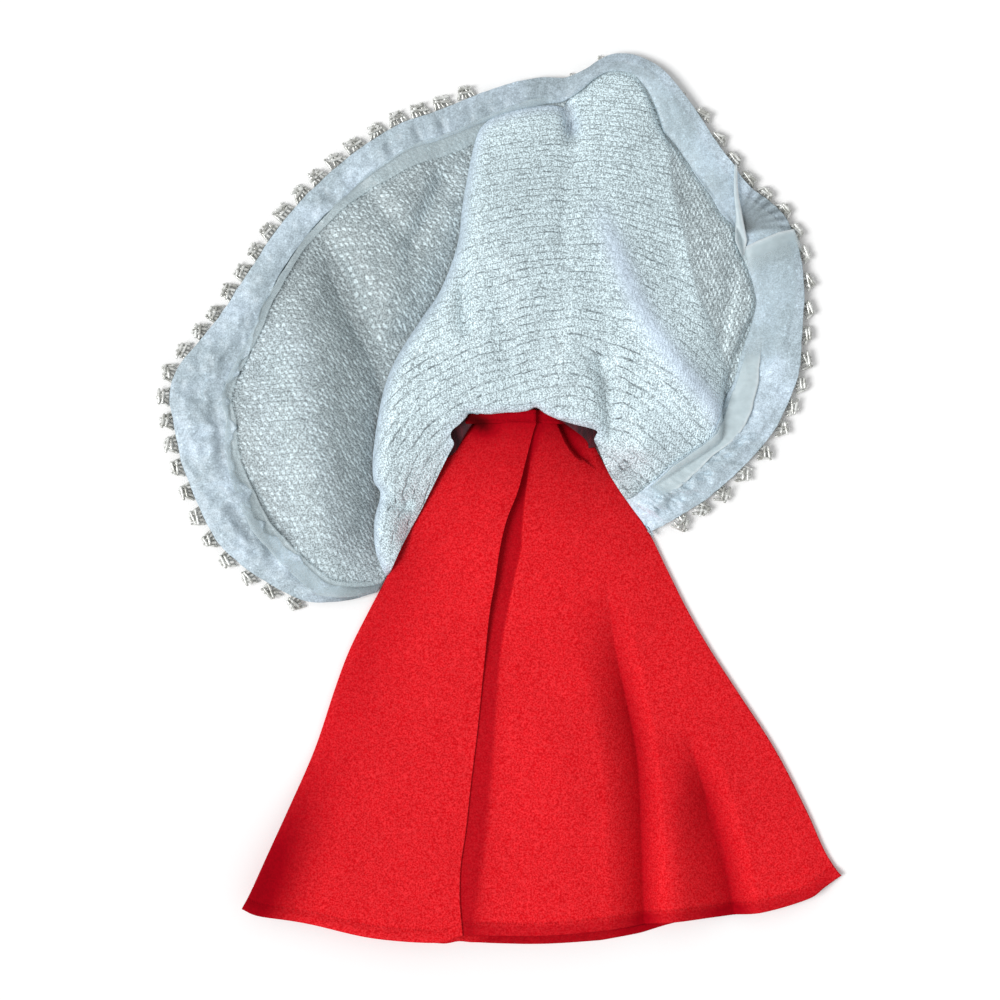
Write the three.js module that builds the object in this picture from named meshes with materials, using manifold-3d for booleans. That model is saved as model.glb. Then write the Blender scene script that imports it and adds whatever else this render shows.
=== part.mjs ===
// A fashion doll's skirt set, lying flat: a red wrap skirt with a waistband and snap, and a silver
// knit overskirt with a faced, ribboned and beaded hem, turned up from the waist.
// Millimetres, +Z up, +Y towards the turned-up hem; the origin is under the middle of the whole set.

import * as THREE from 'three';
import { mergeVertices } from 'three/addons/utils/BufferGeometryUtils.js';
import Module from 'manifold-3d';

const wasm = await Module();
wasm.setup();

const degree = Math.PI / 180;

// Cloth and clearances
const cloth = 0.45;
const layerGap = 0.3;
const edgeGap = 0.5;

// Red wrap skirt: flared panels that spread from one apex above the waist
const waistX = 7.5;
const waistY = 24.6;
const waistWidth = 38.2;
const skirtLength = 168.8;
const flareLeft = 24.6 * degree;
const flareRight = 30 * degree;
const hemSideDrop = 6.5;
const hemTurn = 4;
const frontHemPeek = 1.2;
const domeAtWaist = 5.6;
const domeAtHem = 8.2;
const domePower = 2.6;

// Valleys of the right panel: bearings at their upper end and at the hem, depth at the hem, how far the slope
// reaches on either side, and the shares of the length between which they deepen
const valleys = [
  { upper: 16.5 * degree, hem: 11.8 * degree, depth: 4.6, left: 12, right: 3, from: 0.35, full: 0.7 },
  { upper: 20 * degree, hem: 19.4 * degree, depth: 3.6, left: 11, right: 4, from: 0.55, full: 0.85 },
];

// Wrap: where the free edge lies, how far the right panel runs under it, and where the flap creases
const wrapWaistBearing = 10.5 * degree;
const wrapHemBearing = -5.2 * degree;
const wrapSweep = 24;
const underlap = 12;
const flapRootWidth = 1.8;
const flapHemWidth = 36;
const flapLift = 2.4;
const lapStart = -0.72;

// Waistband: one strip round the waist, its ends lapped and snapped
const bandHeight = 4.8;
const bandWall = 0.7;
const bandLap = 9;
const snapDiameter = 4;
const snapSocketThick = 0.5;
const snapPlateThick = 0.3;
const snapBallDiameter = 1.3;
const snapBoreDiameter = 1.8;
const snapSeat = 0.1;
const snapBallDepth = 0.4;
const hookWire = 0.6;
const hookLength = 2.6;
const hookStraight = 1.8;
const hookWidth = 1.6;
const hookInset = 3.2;

// Silver overskirt: how far its hem reaches from the waist at each bearing
const overskirtX = 11.3;
const overskirtY = 25.9;
const hemReach = [
  [-45, 52], [-30, 58], [-15, 67.5], [0, 80], [12, 88], [28, 98.5], [40, 104.5], [49, 103.5],
  [58, 109], [73, 123], [84, 114], [100, 107.8], [120, 105.2], [145, 104], [158, 106.5],
  [175, 119], [193, 113], [206, 106.5], [220, 96],
];
const puffReach = [
  [98, 91.5], [103, 89], [108, 75], [114, 61], [139, 49], [171, 51], [190, 53.5], [203, 57], [215, 60.5],
  [226, 69],
];
const puffStart = -38;
const puffFinish = 222;
const foldStart = 98;
const wingFinish = 219;
const hemSplit = 63.5;
const wingTuck = 6;
const foldLip = 1.6;
const foldShoulder = 0.93;
const leastRise = 0.4;
const rimLevel = 1.9;
const wingLevel = 0.9;

// Bearings between which the overskirt's inner edge climbs onto the waistband on the right, and leaves it again
const climbFrom = -30;
const climbTo = 8;
const descentFrom = 172;
const descentTo = 208;

// How high the cloth bulges: at shares of the way from its inner edge to its rim, by bearing
const puffCrown = {
  shares: [0.2, 0.4, 0.6, 0.8, foldShoulder],
  rows: [
    [-38, 2, 3, 3, 2.5, 1.5], [-20, 7, 8.5, 7.5, 6.5, 4], [0, 5, 8, 8.5, 8, 5.5], [20, 5.5, 10, 13, 6, 3],
    [40, 7, 12.5, 14, 9, 4], [60, 8, 13, 15.5, 12, 8], [80, 9.5, 13, 13, 10, 7.5],
    [98, 9.5, 12.5, 14, 10.5, 7.5], [110, 7.5, 11.5, 13.5, 11.5, 9.5], [130, 6, 9, 12, 11.5, 9],
    [150, 4.5, 7, 9.5, 10.5, 8],
    [170, 4.5, 6.5, 8, 8.5, 6], [190, 6, 8, 8.5, 8.5, 5.5], [205, 6, 8, 8.5, 7.5, 3.5], [222, 3.5, 5, 6, 5, 3],
  ],
};
const wingCrown = {
  shares: [0.25, 0.5, 0.75],
  rows: [
    [98, 0, 0, 0], [110, 1, 1.5, 1.5], [121, 3, 4.5, 5.5], [135, 4.5, 6.5, 3.5], [145, 4.5, 2, 0],
    [155, 3, 0, 0.5], [165, 0, 3, 6], [180, 2, 7.5, 4], [195, 2.5, 7, 4.5], [208, 1.5, 4, 5], [219, 0, 0.5, 1],
  ],
};
const waistRise = 0.4;
const sideClear = 1.2;

// Hem finishing
const facingWidth = 9;
const ribbonWidth = 4.8;
const ribbonThick = 0.3;
const ribbonStart = -26;
const tapeWidth = 3;

// Bead fringe: loops of beads on a heading thread
const beadPitch = 8.4;
const beadLoopWidth = 4.6;
const beadLoopReach = 4.2;
const beadDiameter = 1.1;
const headingWidth = 0.9;
const headingHeight = 0.9;

// How far a bead loop bows out: shares of its half width and of its reach
const loopRoot = 0.6;
const loopTip = 0.5;
const loopWaist = 0.6;

// Materials
function finish(color, roughness, metalness) {
  return new THREE.MeshStandardMaterial({ color, roughness, metalness });
}
const redCrepe = finish(0xe01f28, 0.75, 0);
const silverKnit = finish(0xbed0d9, 0.45, 0.4);
const paleFacing = finish(0xb4c2c8, 0.5, 0.3);
const organza = finish(0xdfe8ec, 0.4, 0);
const silverBeads = finish(0xc9cdc9, 0.15, 0.5);
const brass = finish(0xc79a4a, 0.3, 1);

// Helpers
const mix = (a, b, t) => a + (b - a) * t;
const clamp = (x) => Math.min(1, Math.max(0, x));
const smoothstep = (from, to, x) => {
  const t = clamp((x - from) / (to - from));
  return t * t * (3 - 2 * t);
};

// Evenly spaced values, from one mark to the next, with a count of steps for each stretch
function spread(marks, counts) {
  const places = [marks[0]];
  counts.forEach((count, k) => {
    for (let i = 1; i <= count; i += 1) places.push(mix(marks[k], marks[k + 1], i / count));
  });
  return places;
}
const evenly = (from, to, count) => spread([from, to], [count]);

// A smooth curve through [place, value] pairs
function smoothThrough(points, at) {
  const last = points.length - 1;
  const slope = (i) => {
    const before = points[Math.max(0, i - 1)];
    const after = points[Math.min(last, i + 1)];
    return (after[1] - before[1]) / (after[0] - before[0]);
  };
  let i = 0;
  while (i < last - 1 && at > points[i + 1][0]) i += 1;
  const [x0, y0] = points[i];
  const [x1, y1] = points[i + 1];
  const h = x1 - x0;
  const t = clamp((at - x0) / h);
  const bend = t * (1 - t);
  const swing = slope(i) * h * (1 - t) - slope(i + 1) * h * t + (y1 - y0) * (2 * t - 1);
  return mix(y0, y1, t) + bend * swing;
}

// Height of a bulge that is nothing at both ends of the way across
function crownAt({ shares, rows }, bearing, share) {
  const heightAt = (column) => smoothThrough(rows.map((row) => [row[0], row[column]]), bearing);
  const profile = shares.map((place, k) => [place, heightAt(k + 1)]);
  return Math.max(0, smoothThrough([[0, 0], ...profile, [1, 0]], share));
}

// A closed thin solid from a grid; the second direction runs to the right of the first, seen from above
function sheet(columns, rows, pointAt) {
  const positions = [];
  const index = [];
  const stride = rows + 1;
  const layer = (columns + 1) * stride;
  for (const side of ['low', 'high']) {
    for (let i = 0; i <= columns; i += 1) {
      for (let j = 0; j <= rows; j += 1) {
        const p = pointAt(i / columns, j / rows);
        positions.push(p.x, p.y, p[side]);
      }
    }
  }
  const low = (i, j) => i * stride + j;
  const high = (i, j) => layer + low(i, j);
  const quad = (a, b, c, d) => index.push(a, b, c, a, c, d);
  for (let i = 0; i < columns; i += 1) {
    for (let j = 0; j < rows; j += 1) {
      quad(high(i, j), high(i, j + 1), high(i + 1, j + 1), high(i + 1, j));
      quad(low(i, j), low(i + 1, j), low(i + 1, j + 1), low(i, j + 1));
    }
    quad(low(i + 1, 0), low(i, 0), high(i, 0), high(i + 1, 0));
    quad(low(i, rows), low(i + 1, rows), high(i + 1, rows), high(i, rows));
  }
  for (let j = 0; j < rows; j += 1) {
    quad(low(0, j), low(0, j + 1), high(0, j + 1), high(0, j));
    quad(low(columns, j + 1), low(columns, j), high(columns, j), high(columns, j + 1));
  }
  const geometry = new THREE.BufferGeometry();
  geometry.setAttribute('position', new THREE.Float32BufferAttribute(positions, 3));
  geometry.setIndex(index);
  geometry.computeVertexNormals();
  return geometry;
}

// Joins closed geometries into one
function joined(geometries) {
  const solids = geometries.map((geometry) => {
    const bare = geometry.clone();
    bare.deleteAttribute('normal');
    bare.deleteAttribute('uv');
    const merged = mergeVertices(bare, 1e-4);
    return new wasm.Manifold(new wasm.Mesh({
      numProp: 3,
      vertProperties: new Float32Array(merged.attributes.position.array),
      triVerts: new Uint32Array(merged.index.array),
    }));
  });
  const whole = solids.reduce((sum, solid) => sum.add(solid)).getMesh();
  const geometry = new THREE.BufferGeometry();
  geometry.setAttribute('position', new THREE.Float32BufferAttribute(whole.vertProperties, 3));
  geometry.setIndex([...whole.triVerts]);
  geometry.computeVertexNormals();
  return geometry;
}

const set = new THREE.Group();
function addPiece(name, geometry, material) {
  const mesh = new THREE.Mesh(geometry, material);
  mesh.name = name;
  set.add(mesh);
  return mesh;
}

// Wrap skirt: places by bearing and distance from the apex
const apexHeight = waistWidth / (Math.tan(flareLeft) + Math.tan(flareRight));
const apex = {
  x: waistX - waistWidth / 2 + apexHeight * Math.tan(flareLeft),
  y: waistY + apexHeight,
};
const flareMiddle = (flareRight - flareLeft) / 2;
const flareHalf = (flareRight + flareLeft) / 2;
const across = (bearing) => (bearing - flareMiddle) / flareHalf;
const topRadius = (bearing) => (apexHeight + layerGap) / Math.cos(bearing);
const hemRadius = (bearing) => apexHeight + skirtLength + hemSideDrop * across(bearing) ** 2;
const skirtPlace = (bearing, radius) => ({
  x: apex.x + radius * Math.sin(bearing),
  y: apex.y - radius * Math.cos(bearing),
});
const hemExtra = (bearing, radius) => cloth * smoothstep(hemTurn, hemTurn / 2, hemRadius(bearing) - radius);

// Rows run from waist to hem, with the last two inside the turned hem
function radiusAlong(bearing, along, rows) {
  const plain = (rows - 2) / rows;
  const start = topRadius(bearing);
  const turn = hemRadius(bearing) - hemTurn;
  if (along <= plain) return mix(start, turn, along / plain);
  return mix(turn, hemRadius(bearing), (along - plain) / (1 - plain));
}

// Share of the way from the waist to the hem
function lengthShare(bearing, radius) {
  const top = topRadius(bearing);
  return (radius - top) / (hemRadius(bearing) - top);
}

// A valley's line, and how deep the valleys are at a place
const valleyLine = ({ upper, hem, from }) => (radius) => {
  return mix(upper, hem, smoothstep(from, 1, lengthShare(hem, radius)));
};
const valleyWall = (valley) => (radius) => valleyLine(valley)(radius) + valley.right / hemRadius(valley.hem);
function valleyDepth(bearing, radius) {
  const along = lengthShare(bearing, radius);
  return valleys.reduce((sum, valley) => {
    const line = valleyLine(valley)(radius);
    const turn = bearing - line;
    const reach = turn < 0 ? valley.left / radius : valleyWall(valley)(radius) - line;
    const near = 1 - clamp(Math.abs(turn) / reach);
    return sum + valley.depth * near ** 2 * smoothstep(valley.from, valley.full, along);
  }, 0);
}

// Height of the upper layer's underside above the table
function upperBase(bearing, radius) {
  const open = 1 - Math.abs(across(bearing)) ** domePower;
  const dome = mix(domeAtWaist, domeAtHem, lengthShare(bearing, radius)) - valleyDepth(bearing, radius);
  return cloth + layerGap + 2 * hemExtra(bearing, radius) + dome * open;
}

// Bearings of the wrap's edges at a distance from the apex
const wrapTop = topRadius(wrapWaistBearing);
const wrapEdge = (radius) => {
  const near = Math.exp((wrapTop - radius) / wrapSweep);
  return mix(wrapHemBearing, wrapWaistBearing, near);
};
const underlapEdge = (radius) => wrapEdge(radius) - underlap / radius;
const creaseTop = {
  bearing: wrapWaistBearing - flapRootWidth / wrapTop,
  radius: wrapTop,
};
const creaseHem = {
  bearing: wrapHemBearing - flapHemWidth / hemRadius(wrapHemBearing),
  radius: hemRadius(wrapHemBearing),
};
const creaseStart = skirtPlace(creaseTop.bearing, creaseTop.radius);
const creaseFinish = skirtPlace(creaseHem.bearing, creaseHem.radius);
function creaseEdge(radius) {
  const px = creaseStart.x - apex.x;
  const py = creaseStart.y - apex.y;
  const dx = creaseFinish.x - creaseStart.x;
  const dy = creaseFinish.y - creaseStart.y;
  const a = dx * dx + dy * dy;
  const b = px * dx + py * dy;
  const c = px * px + py * py - radius * radius;
  const t = (-b + Math.sqrt(Math.max(0, b * b - a * c))) / a;
  return Math.atan2(px + t * dx, -(py + t * dy));
}

// The bearing of an edge at a share of the way from waist to hem
function edgeAt(edge, along, rows) {
  let bearing = flareMiddle;
  for (let pass = 0; pass < 6; pass += 1) bearing = edge(radiusAlong(bearing, along, rows));
  return bearing;
}

// A panel across edges, with a count of columns between each two; layerOf gives its underside and top
function panel(edges, counts, rows, layerOf) {
  const columns = counts.reduce((sum, count) => sum + count);
  return sheet(columns, rows, (u, v) => {
    const marks = edges.map((edge) => edgeAt(edge, v, rows));
    const bearing = spread(marks, counts)[Math.round(u * columns)];
    const radius = radiusAlong(bearing, v, rows);
    const layer = layerOf(bearing, radius, u, v);
    return { ...skirtPlace(bearing, layer.radius ?? radius), low: layer.low, high: layer.high };
  });
}
const leftSide = () => -flareLeft;
const rightSide = () => flareRight;
const beside = (edge, distance) => (radius) => edge(radius) + distance / radius;

// The upper left layer rides over the right panel, and comes down to the side seam
const lapRise = (bearing, radius) => {
  const rise = cloth + layerGap + hemExtra(bearing, radius);
  return rise * smoothstep(-1, lapStart, across(bearing));
};

function frontLayer(bearing, radius) {
  const longer = frontHemPeek * (1 - across(bearing) ** 2) * lengthShare(bearing, radius);
  return { low: 0, high: cloth + hemExtra(bearing, radius), radius: radius + longer };
}
function rightLayer(bearing, radius) {
  const base = upperBase(bearing, radius);
  return { low: base - hemExtra(bearing, radius), high: base + cloth };
}
function leftLayer(bearing, radius) {
  const base = upperBase(bearing, radius) + lapRise(bearing, radius);
  return { low: base - hemExtra(bearing, radius), high: base + cloth };
}
function flapLayer(bearing, radius, u, v) {
  const lift = flapLift * u * u * Math.sin(Math.PI * Math.sqrt(v));
  const layer = leftLayer(bearing, radius);
  return { low: layer.low + lift, high: layer.high + lift };
}

const valleyEdges = valleys.flatMap((valley) => [valleyLine(valley), valleyWall(valley)]);
const leftEdges = [leftSide, beside(creaseEdge, -layerGap)];
const flapEdges = [beside(creaseEdge, layerGap), wrapEdge];
const rightEdges = [underlapEdge, ...valleyEdges, rightSide];
addPiece('skirt_front_panel', panel([leftSide, rightSide], [14], 10, frontLayer), redCrepe);
addPiece('skirt_right_back_panel', panel(rightEdges, [12, 1, 7, 1, 7], 16, rightLayer), redCrepe);
addPiece('skirt_left_back_panel', panel(leftEdges, [9], 12, leftLayer), redCrepe);
addPiece('wrap_flap', panel(flapEdges, [5], 12, flapLayer), redCrepe);

// Waistband: a strip that runs from its under end round the waist to its upper end
const closureX = skirtPlace(wrapWaistBearing, wrapTop).x;
const underLevel = upperBase(wrapWaistBearing, wrapTop) + bandWall / 2;
const snapStack = snapSocketThick + snapPlateThick + 3 * snapSeat;
const upperLevel = underLevel + bandWall + snapStack;
const lowLevel = bandWall / 2;
function bandPath() {
  const left = waistX - waistWidth / 2;
  const right = waistX + waistWidth / 2;
  const steps = 8;
  const points = [new THREE.Vector2(closureX - bandLap, underLevel)];
  const turn = (x, level, from) => {
    const radius = (level - lowLevel) / 2;
    const centre = new THREE.Vector2(x, lowLevel + radius);
    for (let i = 0; i <= steps; i += 1) {
      const angle = from - (Math.PI * i) / steps;
      const way = new THREE.Vector2(Math.cos(angle), Math.sin(angle));
      points.push(centre.clone().addScaledVector(way, radius));
    }
  };
  turn(right - (underLevel - lowLevel) / 2, underLevel, Math.PI / 2);
  turn(left + (upperLevel - lowLevel) / 2, upperLevel, -Math.PI / 2);
  points.push(new THREE.Vector2(closureX, upperLevel));
  return points;
}
function bandOutline(points) {
  const offset = (sign) => points.map((point, i) => {
    const before = points[Math.max(0, i - 1)];
    const after = points[Math.min(points.length - 1, i + 1)];
    const way = after.clone().sub(before).normalize();
    return new THREE.Vector2(point.x - way.y * sign * bandWall / 2, point.y + way.x * sign * bandWall / 2);
  });
  return [...offset(1), ...offset(-1).reverse()];
}
const band = new THREE.ExtrudeGeometry(new THREE.Shape(bandOutline(bandPath())), {
  depth: bandHeight,
  bevelEnabled: false,
});
band.rotateX(Math.PI / 2);
addPiece('waistband', band, redCrepe).position.y = waistY + bandHeight;

// Snap: a bored socket on the under end, and a plate with a ball on the upper end
const snapRadius = snapDiameter / 2;
const turned = (profile) => {
  const geometry = new THREE.LatheGeometry(profile.map(([r, z]) => new THREE.Vector2(r, z)), 16);
  return geometry.rotateX(Math.PI / 2);
};
const snapX = closureX - bandLap / 2;
const snapY = waistY + bandHeight / 2;
const socketBore = snapBoreDiameter / 2;
const socket = turned([
  [socketBore, 0], [snapRadius, 0], [snapRadius, snapSocketThick], [socketBore, snapSocketThick],
  [socketBore, 0],
]);
const ballRadius = snapBallDiameter / 2;
const ballDrop = snapSeat + snapBallDepth;
const stud = turned([
  [0, -ballDrop], [ballRadius, -ballDrop], [ballRadius, 0], [snapRadius, 0],
  [snapRadius, snapPlateThick], [0, snapPlateThick],
]);
const socketLevel = underLevel + bandWall / 2 + snapSeat;
addPiece('snap_socket', socket, brass).position.set(snapX, snapY, socketLevel);
addPiece('snap_stud', stud, brass).position.set(snapX, snapY, socketLevel + snapSocketThick + snapSeat);

// Small bent wire hook sewn on the waistband's right end
const hookEnds = hookWidth / 2;
const hookCurve = new THREE.CatmullRomCurve3([
  new THREE.Vector3(0, -hookEnds, 0),
  new THREE.Vector3(hookStraight, -hookEnds, 0),
  new THREE.Vector3(hookLength, 0, 0),
  new THREE.Vector3(hookStraight, hookEnds, 0),
  new THREE.Vector3(0, hookEnds, 0),
]);
const roundSection = (diameter, sides) => {
  const points = [];
  for (let i = 0; i < sides; i += 1) {
    const angle = (2 * Math.PI * i) / sides;
    points.push(new THREE.Vector2(Math.cos(angle), Math.sin(angle)).multiplyScalar(diameter / 2));
  }
  return new THREE.Shape(points);
};
const hook = new THREE.ExtrudeGeometry(roundSection(hookWire, 8), {
  steps: 12, extrudePath: hookCurve, bevelEnabled: false,
});
addPiece('waist_hook', hook, brass).position.set(
  waistX + waistWidth / 2 - hookInset - hookLength,
  waistY + bandHeight / 2,
  underLevel + bandWall / 2 + snapSeat + hookWire / 2,
);

// Overskirt: places by bearing in degrees and distance from the waist's middle
const hingeLevel = upperLevel + bandWall / 2 + waistRise;
const overPlace = (bearing, distance) => ({
  x: overskirtX + distance * Math.cos(bearing * degree),
  y: overskirtY + distance * Math.sin(bearing * degree),
});
const hemAt = (bearing) => smoothThrough(hemReach, bearing);
const foldEdgeAt = (bearing) => smoothThrough(puffReach, bearing);

// Distance at which a bearing leaves the skirt's side edge, with the clearance beside it
function besideSkirt(bearing, sideBearing, clear) {
  const nx = Math.cos(sideBearing);
  const ny = Math.sin(sideBearing);
  const from = (apex.x - overskirtX) * nx + (apex.y - overskirtY) * ny + clear;
  return from / (nx * Math.cos(bearing * degree) + ny * Math.sin(bearing * degree));
}

// Inner edge of the overskirt: above the waistband, then down beside the skirt's edges
const bandTop = waistY + bandHeight + edgeGap;
const bandRight = waistX + waistWidth / 2 + edgeGap;
const bandLeft = waistX - waistWidth / 2 - edgeGap;
function innerAt(bearing) {
  const c = Math.cos(bearing * degree);
  const s = Math.sin(bearing * degree);
  const reaches = [];
  if (s > 0) reaches.push((bandTop - overskirtY) / s);
  if (c > 0) reaches.push((bandRight - overskirtX) / c);
  if (c < 0) reaches.push((bandLeft - overskirtX) / c);
  const overBand = Math.min(...reaches);
  if (bearing < 0) return Math.max(overBand, besideSkirt(bearing, flareRight, sideClear));
  if (bearing > 180) return Math.max(overBand, besideSkirt(bearing, -flareLeft, -sideClear));
  return overBand;
}

// Outer edge of the puff: the hem on the right and top, the lapped fold on the left
const bearingGap = edgeGap / (hemAt(foldStart) * degree);
const wingStart = foldStart + 2 * bearingGap;
const isFold = (bearing) => bearing > foldStart + bearingGap / 2;
const puffEdge = (bearing) => (isFold(bearing) ? foldEdgeAt(bearing) : hemAt(bearing) - edgeGap);
const rimWidth = facingWidth + ribbonWidth + 3 * edgeGap;
const puffRim = (bearing) => {
  const edge = puffEdge(bearing);
  const rim = edge - (isFold(bearing) ? foldLip : rimWidth);
  return Math.max(rim, mix(innerAt(bearing), edge, leastRise));
};
const puffShoulder = (bearing) => mix(innerAt(bearing), puffRim(bearing), foldShoulder);

// Left wing: lies low, with soft folds between its tucked inner edge and the hem's rim
const wingEdge = (bearing) => hemAt(bearing) - edgeGap;
const wingRim = (bearing) => wingEdge(bearing) - rimWidth;
const wingInner = (bearing) => foldEdgeAt(bearing) - wingTuck;
const wingClear = (bearing) => Math.min(foldEdgeAt(bearing) + foldLip, wingRim(bearing) - foldLip);
function wingTop(bearing, distance) {
  const share = clamp((distance - wingClear(bearing)) / (wingRim(bearing) - wingClear(bearing)));
  return layerGap + cloth + wingLevel + crownAt(wingCrown, bearing, share);
}

// Puff: rises from the waist, rolls over at the left fold and runs out to a low rim elsewhere
function puffTop(bearing, distance) {
  const inner = innerAt(bearing);
  const share = clamp((distance - inner) / (puffRim(bearing) - inner));
  const raised = smoothstep(climbFrom, climbTo, bearing) * smoothstep(descentTo, descentFrom, bearing);
  const start = mix(rimLevel, hingeLevel, raised) + cloth;
  const foldLevel = wingTop(bearing, foldEdgeAt(bearing)) + layerGap + cloth;
  const finishLevel = isFold(bearing) ? foldLevel : rimLevel + cloth;
  return mix(start, finishLevel, share) + crownAt(puffCrown, bearing, share);
}

// Distances at which a sheet has its rows: marks at its breaks, with even rows between them
const stations = (marks, counts) => (bearing) => spread(marks.map((mark) => mark(bearing)), counts);
function overSheet(bearings, rowsAt, topAt, thick) {
  const columns = bearings.length - 1;
  const rows = rowsAt(bearings[0]).length - 1;
  return sheet(columns, rows, (u, v) => {
    const bearing = bearings[Math.round(u * columns)];
    const distance = rowsAt(bearing)[Math.round(v * rows)];
    const high = topAt(bearing, distance);
    return { ...overPlace(bearing, distance), low: high - thick, high };
  });
}

const puffRows = stations([innerAt, puffShoulder, puffRim, puffEdge], [10, 1, 1]);
const puffBearings = [
  ...evenly(puffStart, foldStart, 24),
  ...evenly(foldStart + bearingGap, puffFinish, 21),
];
addPiece('overskirt_puff', overSheet(puffBearings, puffRows, puffTop, cloth), silverKnit);
const wingRows = stations([wingInner, wingClear, wingRim, wingEdge], [1, 6, 1]);
addPiece('overskirt_wing', overSheet(evenly(wingStart, wingFinish, 30), wingRows, wingTop, cloth), silverKnit);

// Gathered waist tape under the puff's inner edge, behind the waistband
const tape = new THREE.BoxGeometry(waistWidth - 2 * hookInset, tapeWidth, cloth);
addPiece('overskirt_waist_tape', tape, paleFacing).position.set(
  waistX,
  bandTop + tapeWidth / 2,
  hingeLevel - layerGap - cloth,
);

// Hem facing and organza ribbon, in three stretches, lying on the cloth's wrong side
const stretches = [
  { side: 'left', from: wingStart, to: wingFinish, columns: 28, top: wingTop },
  { side: 'top', from: hemSplit + bearingGap, to: foldStart, columns: 10, top: puffTop },
  { side: 'right', from: puffStart, to: hemSplit, columns: 24, top: puffTop },
];
const facingInner = (bearing) => hemAt(bearing) - facingWidth;
const ribbonOuter = (bearing) => facingInner(bearing) - edgeGap;
const ribbonInner = (bearing) => ribbonOuter(bearing) - ribbonWidth;
const onCloth = (top, thick) => (bearing, distance) => {
  const inside = Math.min(distance, hemAt(bearing) - edgeGap);
  return top(bearing, inside) + layerGap + thick;
};
const facingRows = stations([facingInner, hemAt], [1]);
const ribbonRows = stations([ribbonInner, ribbonOuter], [1]);
for (const { side, from, to, columns, top } of stretches) {
  const facingBearings = evenly(from, to, columns);
  const facing = overSheet(facingBearings, facingRows, onCloth(top, cloth), cloth);
  addPiece(`hem_facing_${side}`, facing, paleFacing);
  const ribbonBearings = evenly(Math.max(from, ribbonStart), to, columns);
  const ribbon = overSheet(ribbonBearings, ribbonRows, onCloth(top, ribbonThick), ribbonThick);
  addPiece(`organza_ribbon_${side}`, ribbon, organza);
}

// Bead fringe: a heading along the hem with a loop of beads at every pitch
const tableLevel = layerGap + beadDiameter / 2;
const rimLift = rimLevel - wingLevel - layerGap;
function beadLoop(bearing, start, outward, level) {
  const radial = new THREE.Vector3(Math.cos(bearing * degree), Math.sin(bearing * degree), 0);
  const along = new THREE.Vector3(-radial.y, radial.x, 0);
  const centre = overPlace(bearing, start);
  const at = (side, out) => new THREE.Vector3(centre.x, centre.y, level)
    .addScaledVector(along, (side * (beadLoopWidth - beadDiameter)) / 2)
    .addScaledVector(radial, outward * out);
  const reach = beadLoopReach - beadDiameter / 2;
  const curve = new THREE.CatmullRomCurve3([
    at(-loopRoot, 0), at(-1, reach * loopWaist), at(-loopTip, reach),
    at(loopTip, reach), at(1, reach * loopWaist), at(loopRoot, 0),
  ]);
  return new THREE.ExtrudeGeometry(roundSection(beadDiameter, 5), {
    steps: 6, extrudePath: curve, bevelEnabled: false,
  });
}
function beadFringe(from, to, lineAt, outward, level) {
  const headingRows = stations([
    (bearing) => lineAt(bearing) - headingWidth / 2,
    (bearing) => lineAt(bearing) + headingWidth / 2,
  ], [1]);
  const headingTop = () => level + headingHeight / 2;
  const heading = overSheet(evenly(from, to, 8), headingRows, headingTop, headingHeight);
  const middle = (from + to) / 2;
  const length = (to - from) * degree * hemAt(middle);
  const count = Math.max(1, Math.floor(length / beadPitch));
  const loops = [];
  for (let i = 0; i < count; i += 1) {
    const bearing = mix(from, to, (i + 0.5) / count);
    loops.push(beadLoop(bearing, lineAt(bearing), outward, level));
  }
  return joined([heading, ...loops]);
}
const freeLine = (bearing) => hemAt(bearing) + edgeGap + headingWidth / 2;
const tuckedLine = (bearing) => hemAt(bearing) - 2 * edgeGap - headingWidth / 2;
const beadSpare = beadLoopWidth / 2 / (hemAt(foldStart) * degree);
const topEnds = [hemSplit + beadSpare, foldStart - beadSpare];
const leftEnds = [wingStart + beadSpare, wingFinish];
const fringes = [
  { side: 'right', ends: [puffStart, hemSplit], count: 3, line: freeLine, outward: 1, lift: rimLift },
  { side: 'top', ends: topEnds, count: 1, line: tuckedLine, outward: -1, lift: 0 },
  { side: 'left', ends: leftEnds, count: 4, line: freeLine, outward: 1, lift: 0 },
];
for (const { side, ends: [from, to], count, line, outward, lift } of fringes) {
  const span = (to - from) / count;
  for (let i = 0; i < count; i += 1) {
    const start = from + i * span;
    const end = start + span - bearingGap / 2;
    const fringe = beadFringe(start + bearingGap / 2, end, line, outward, tableLevel + lift);
    addPiece(`bead_fringe_${side}_${i + 1}`, fringe, silverBeads);
  }
}

// The set rests on the table with its middle over the origin
const bounds = new THREE.Box3().setFromObject(set, true);
const middle = bounds.getCenter(new THREE.Vector3());
set.position.set(-middle.x, -middle.y, -bounds.min.z);

export default set;
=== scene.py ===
# Looks of a doll's skirt set lying flat: a red wrap skirt and a silver knit overskirt turned up at the waist.
# Lengths in this file are millimetres on the photograph's plan until a mesh is made, which is in metres.

import math
from functools import partial

import bpy
import numpy as np
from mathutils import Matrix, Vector, noise


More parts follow.
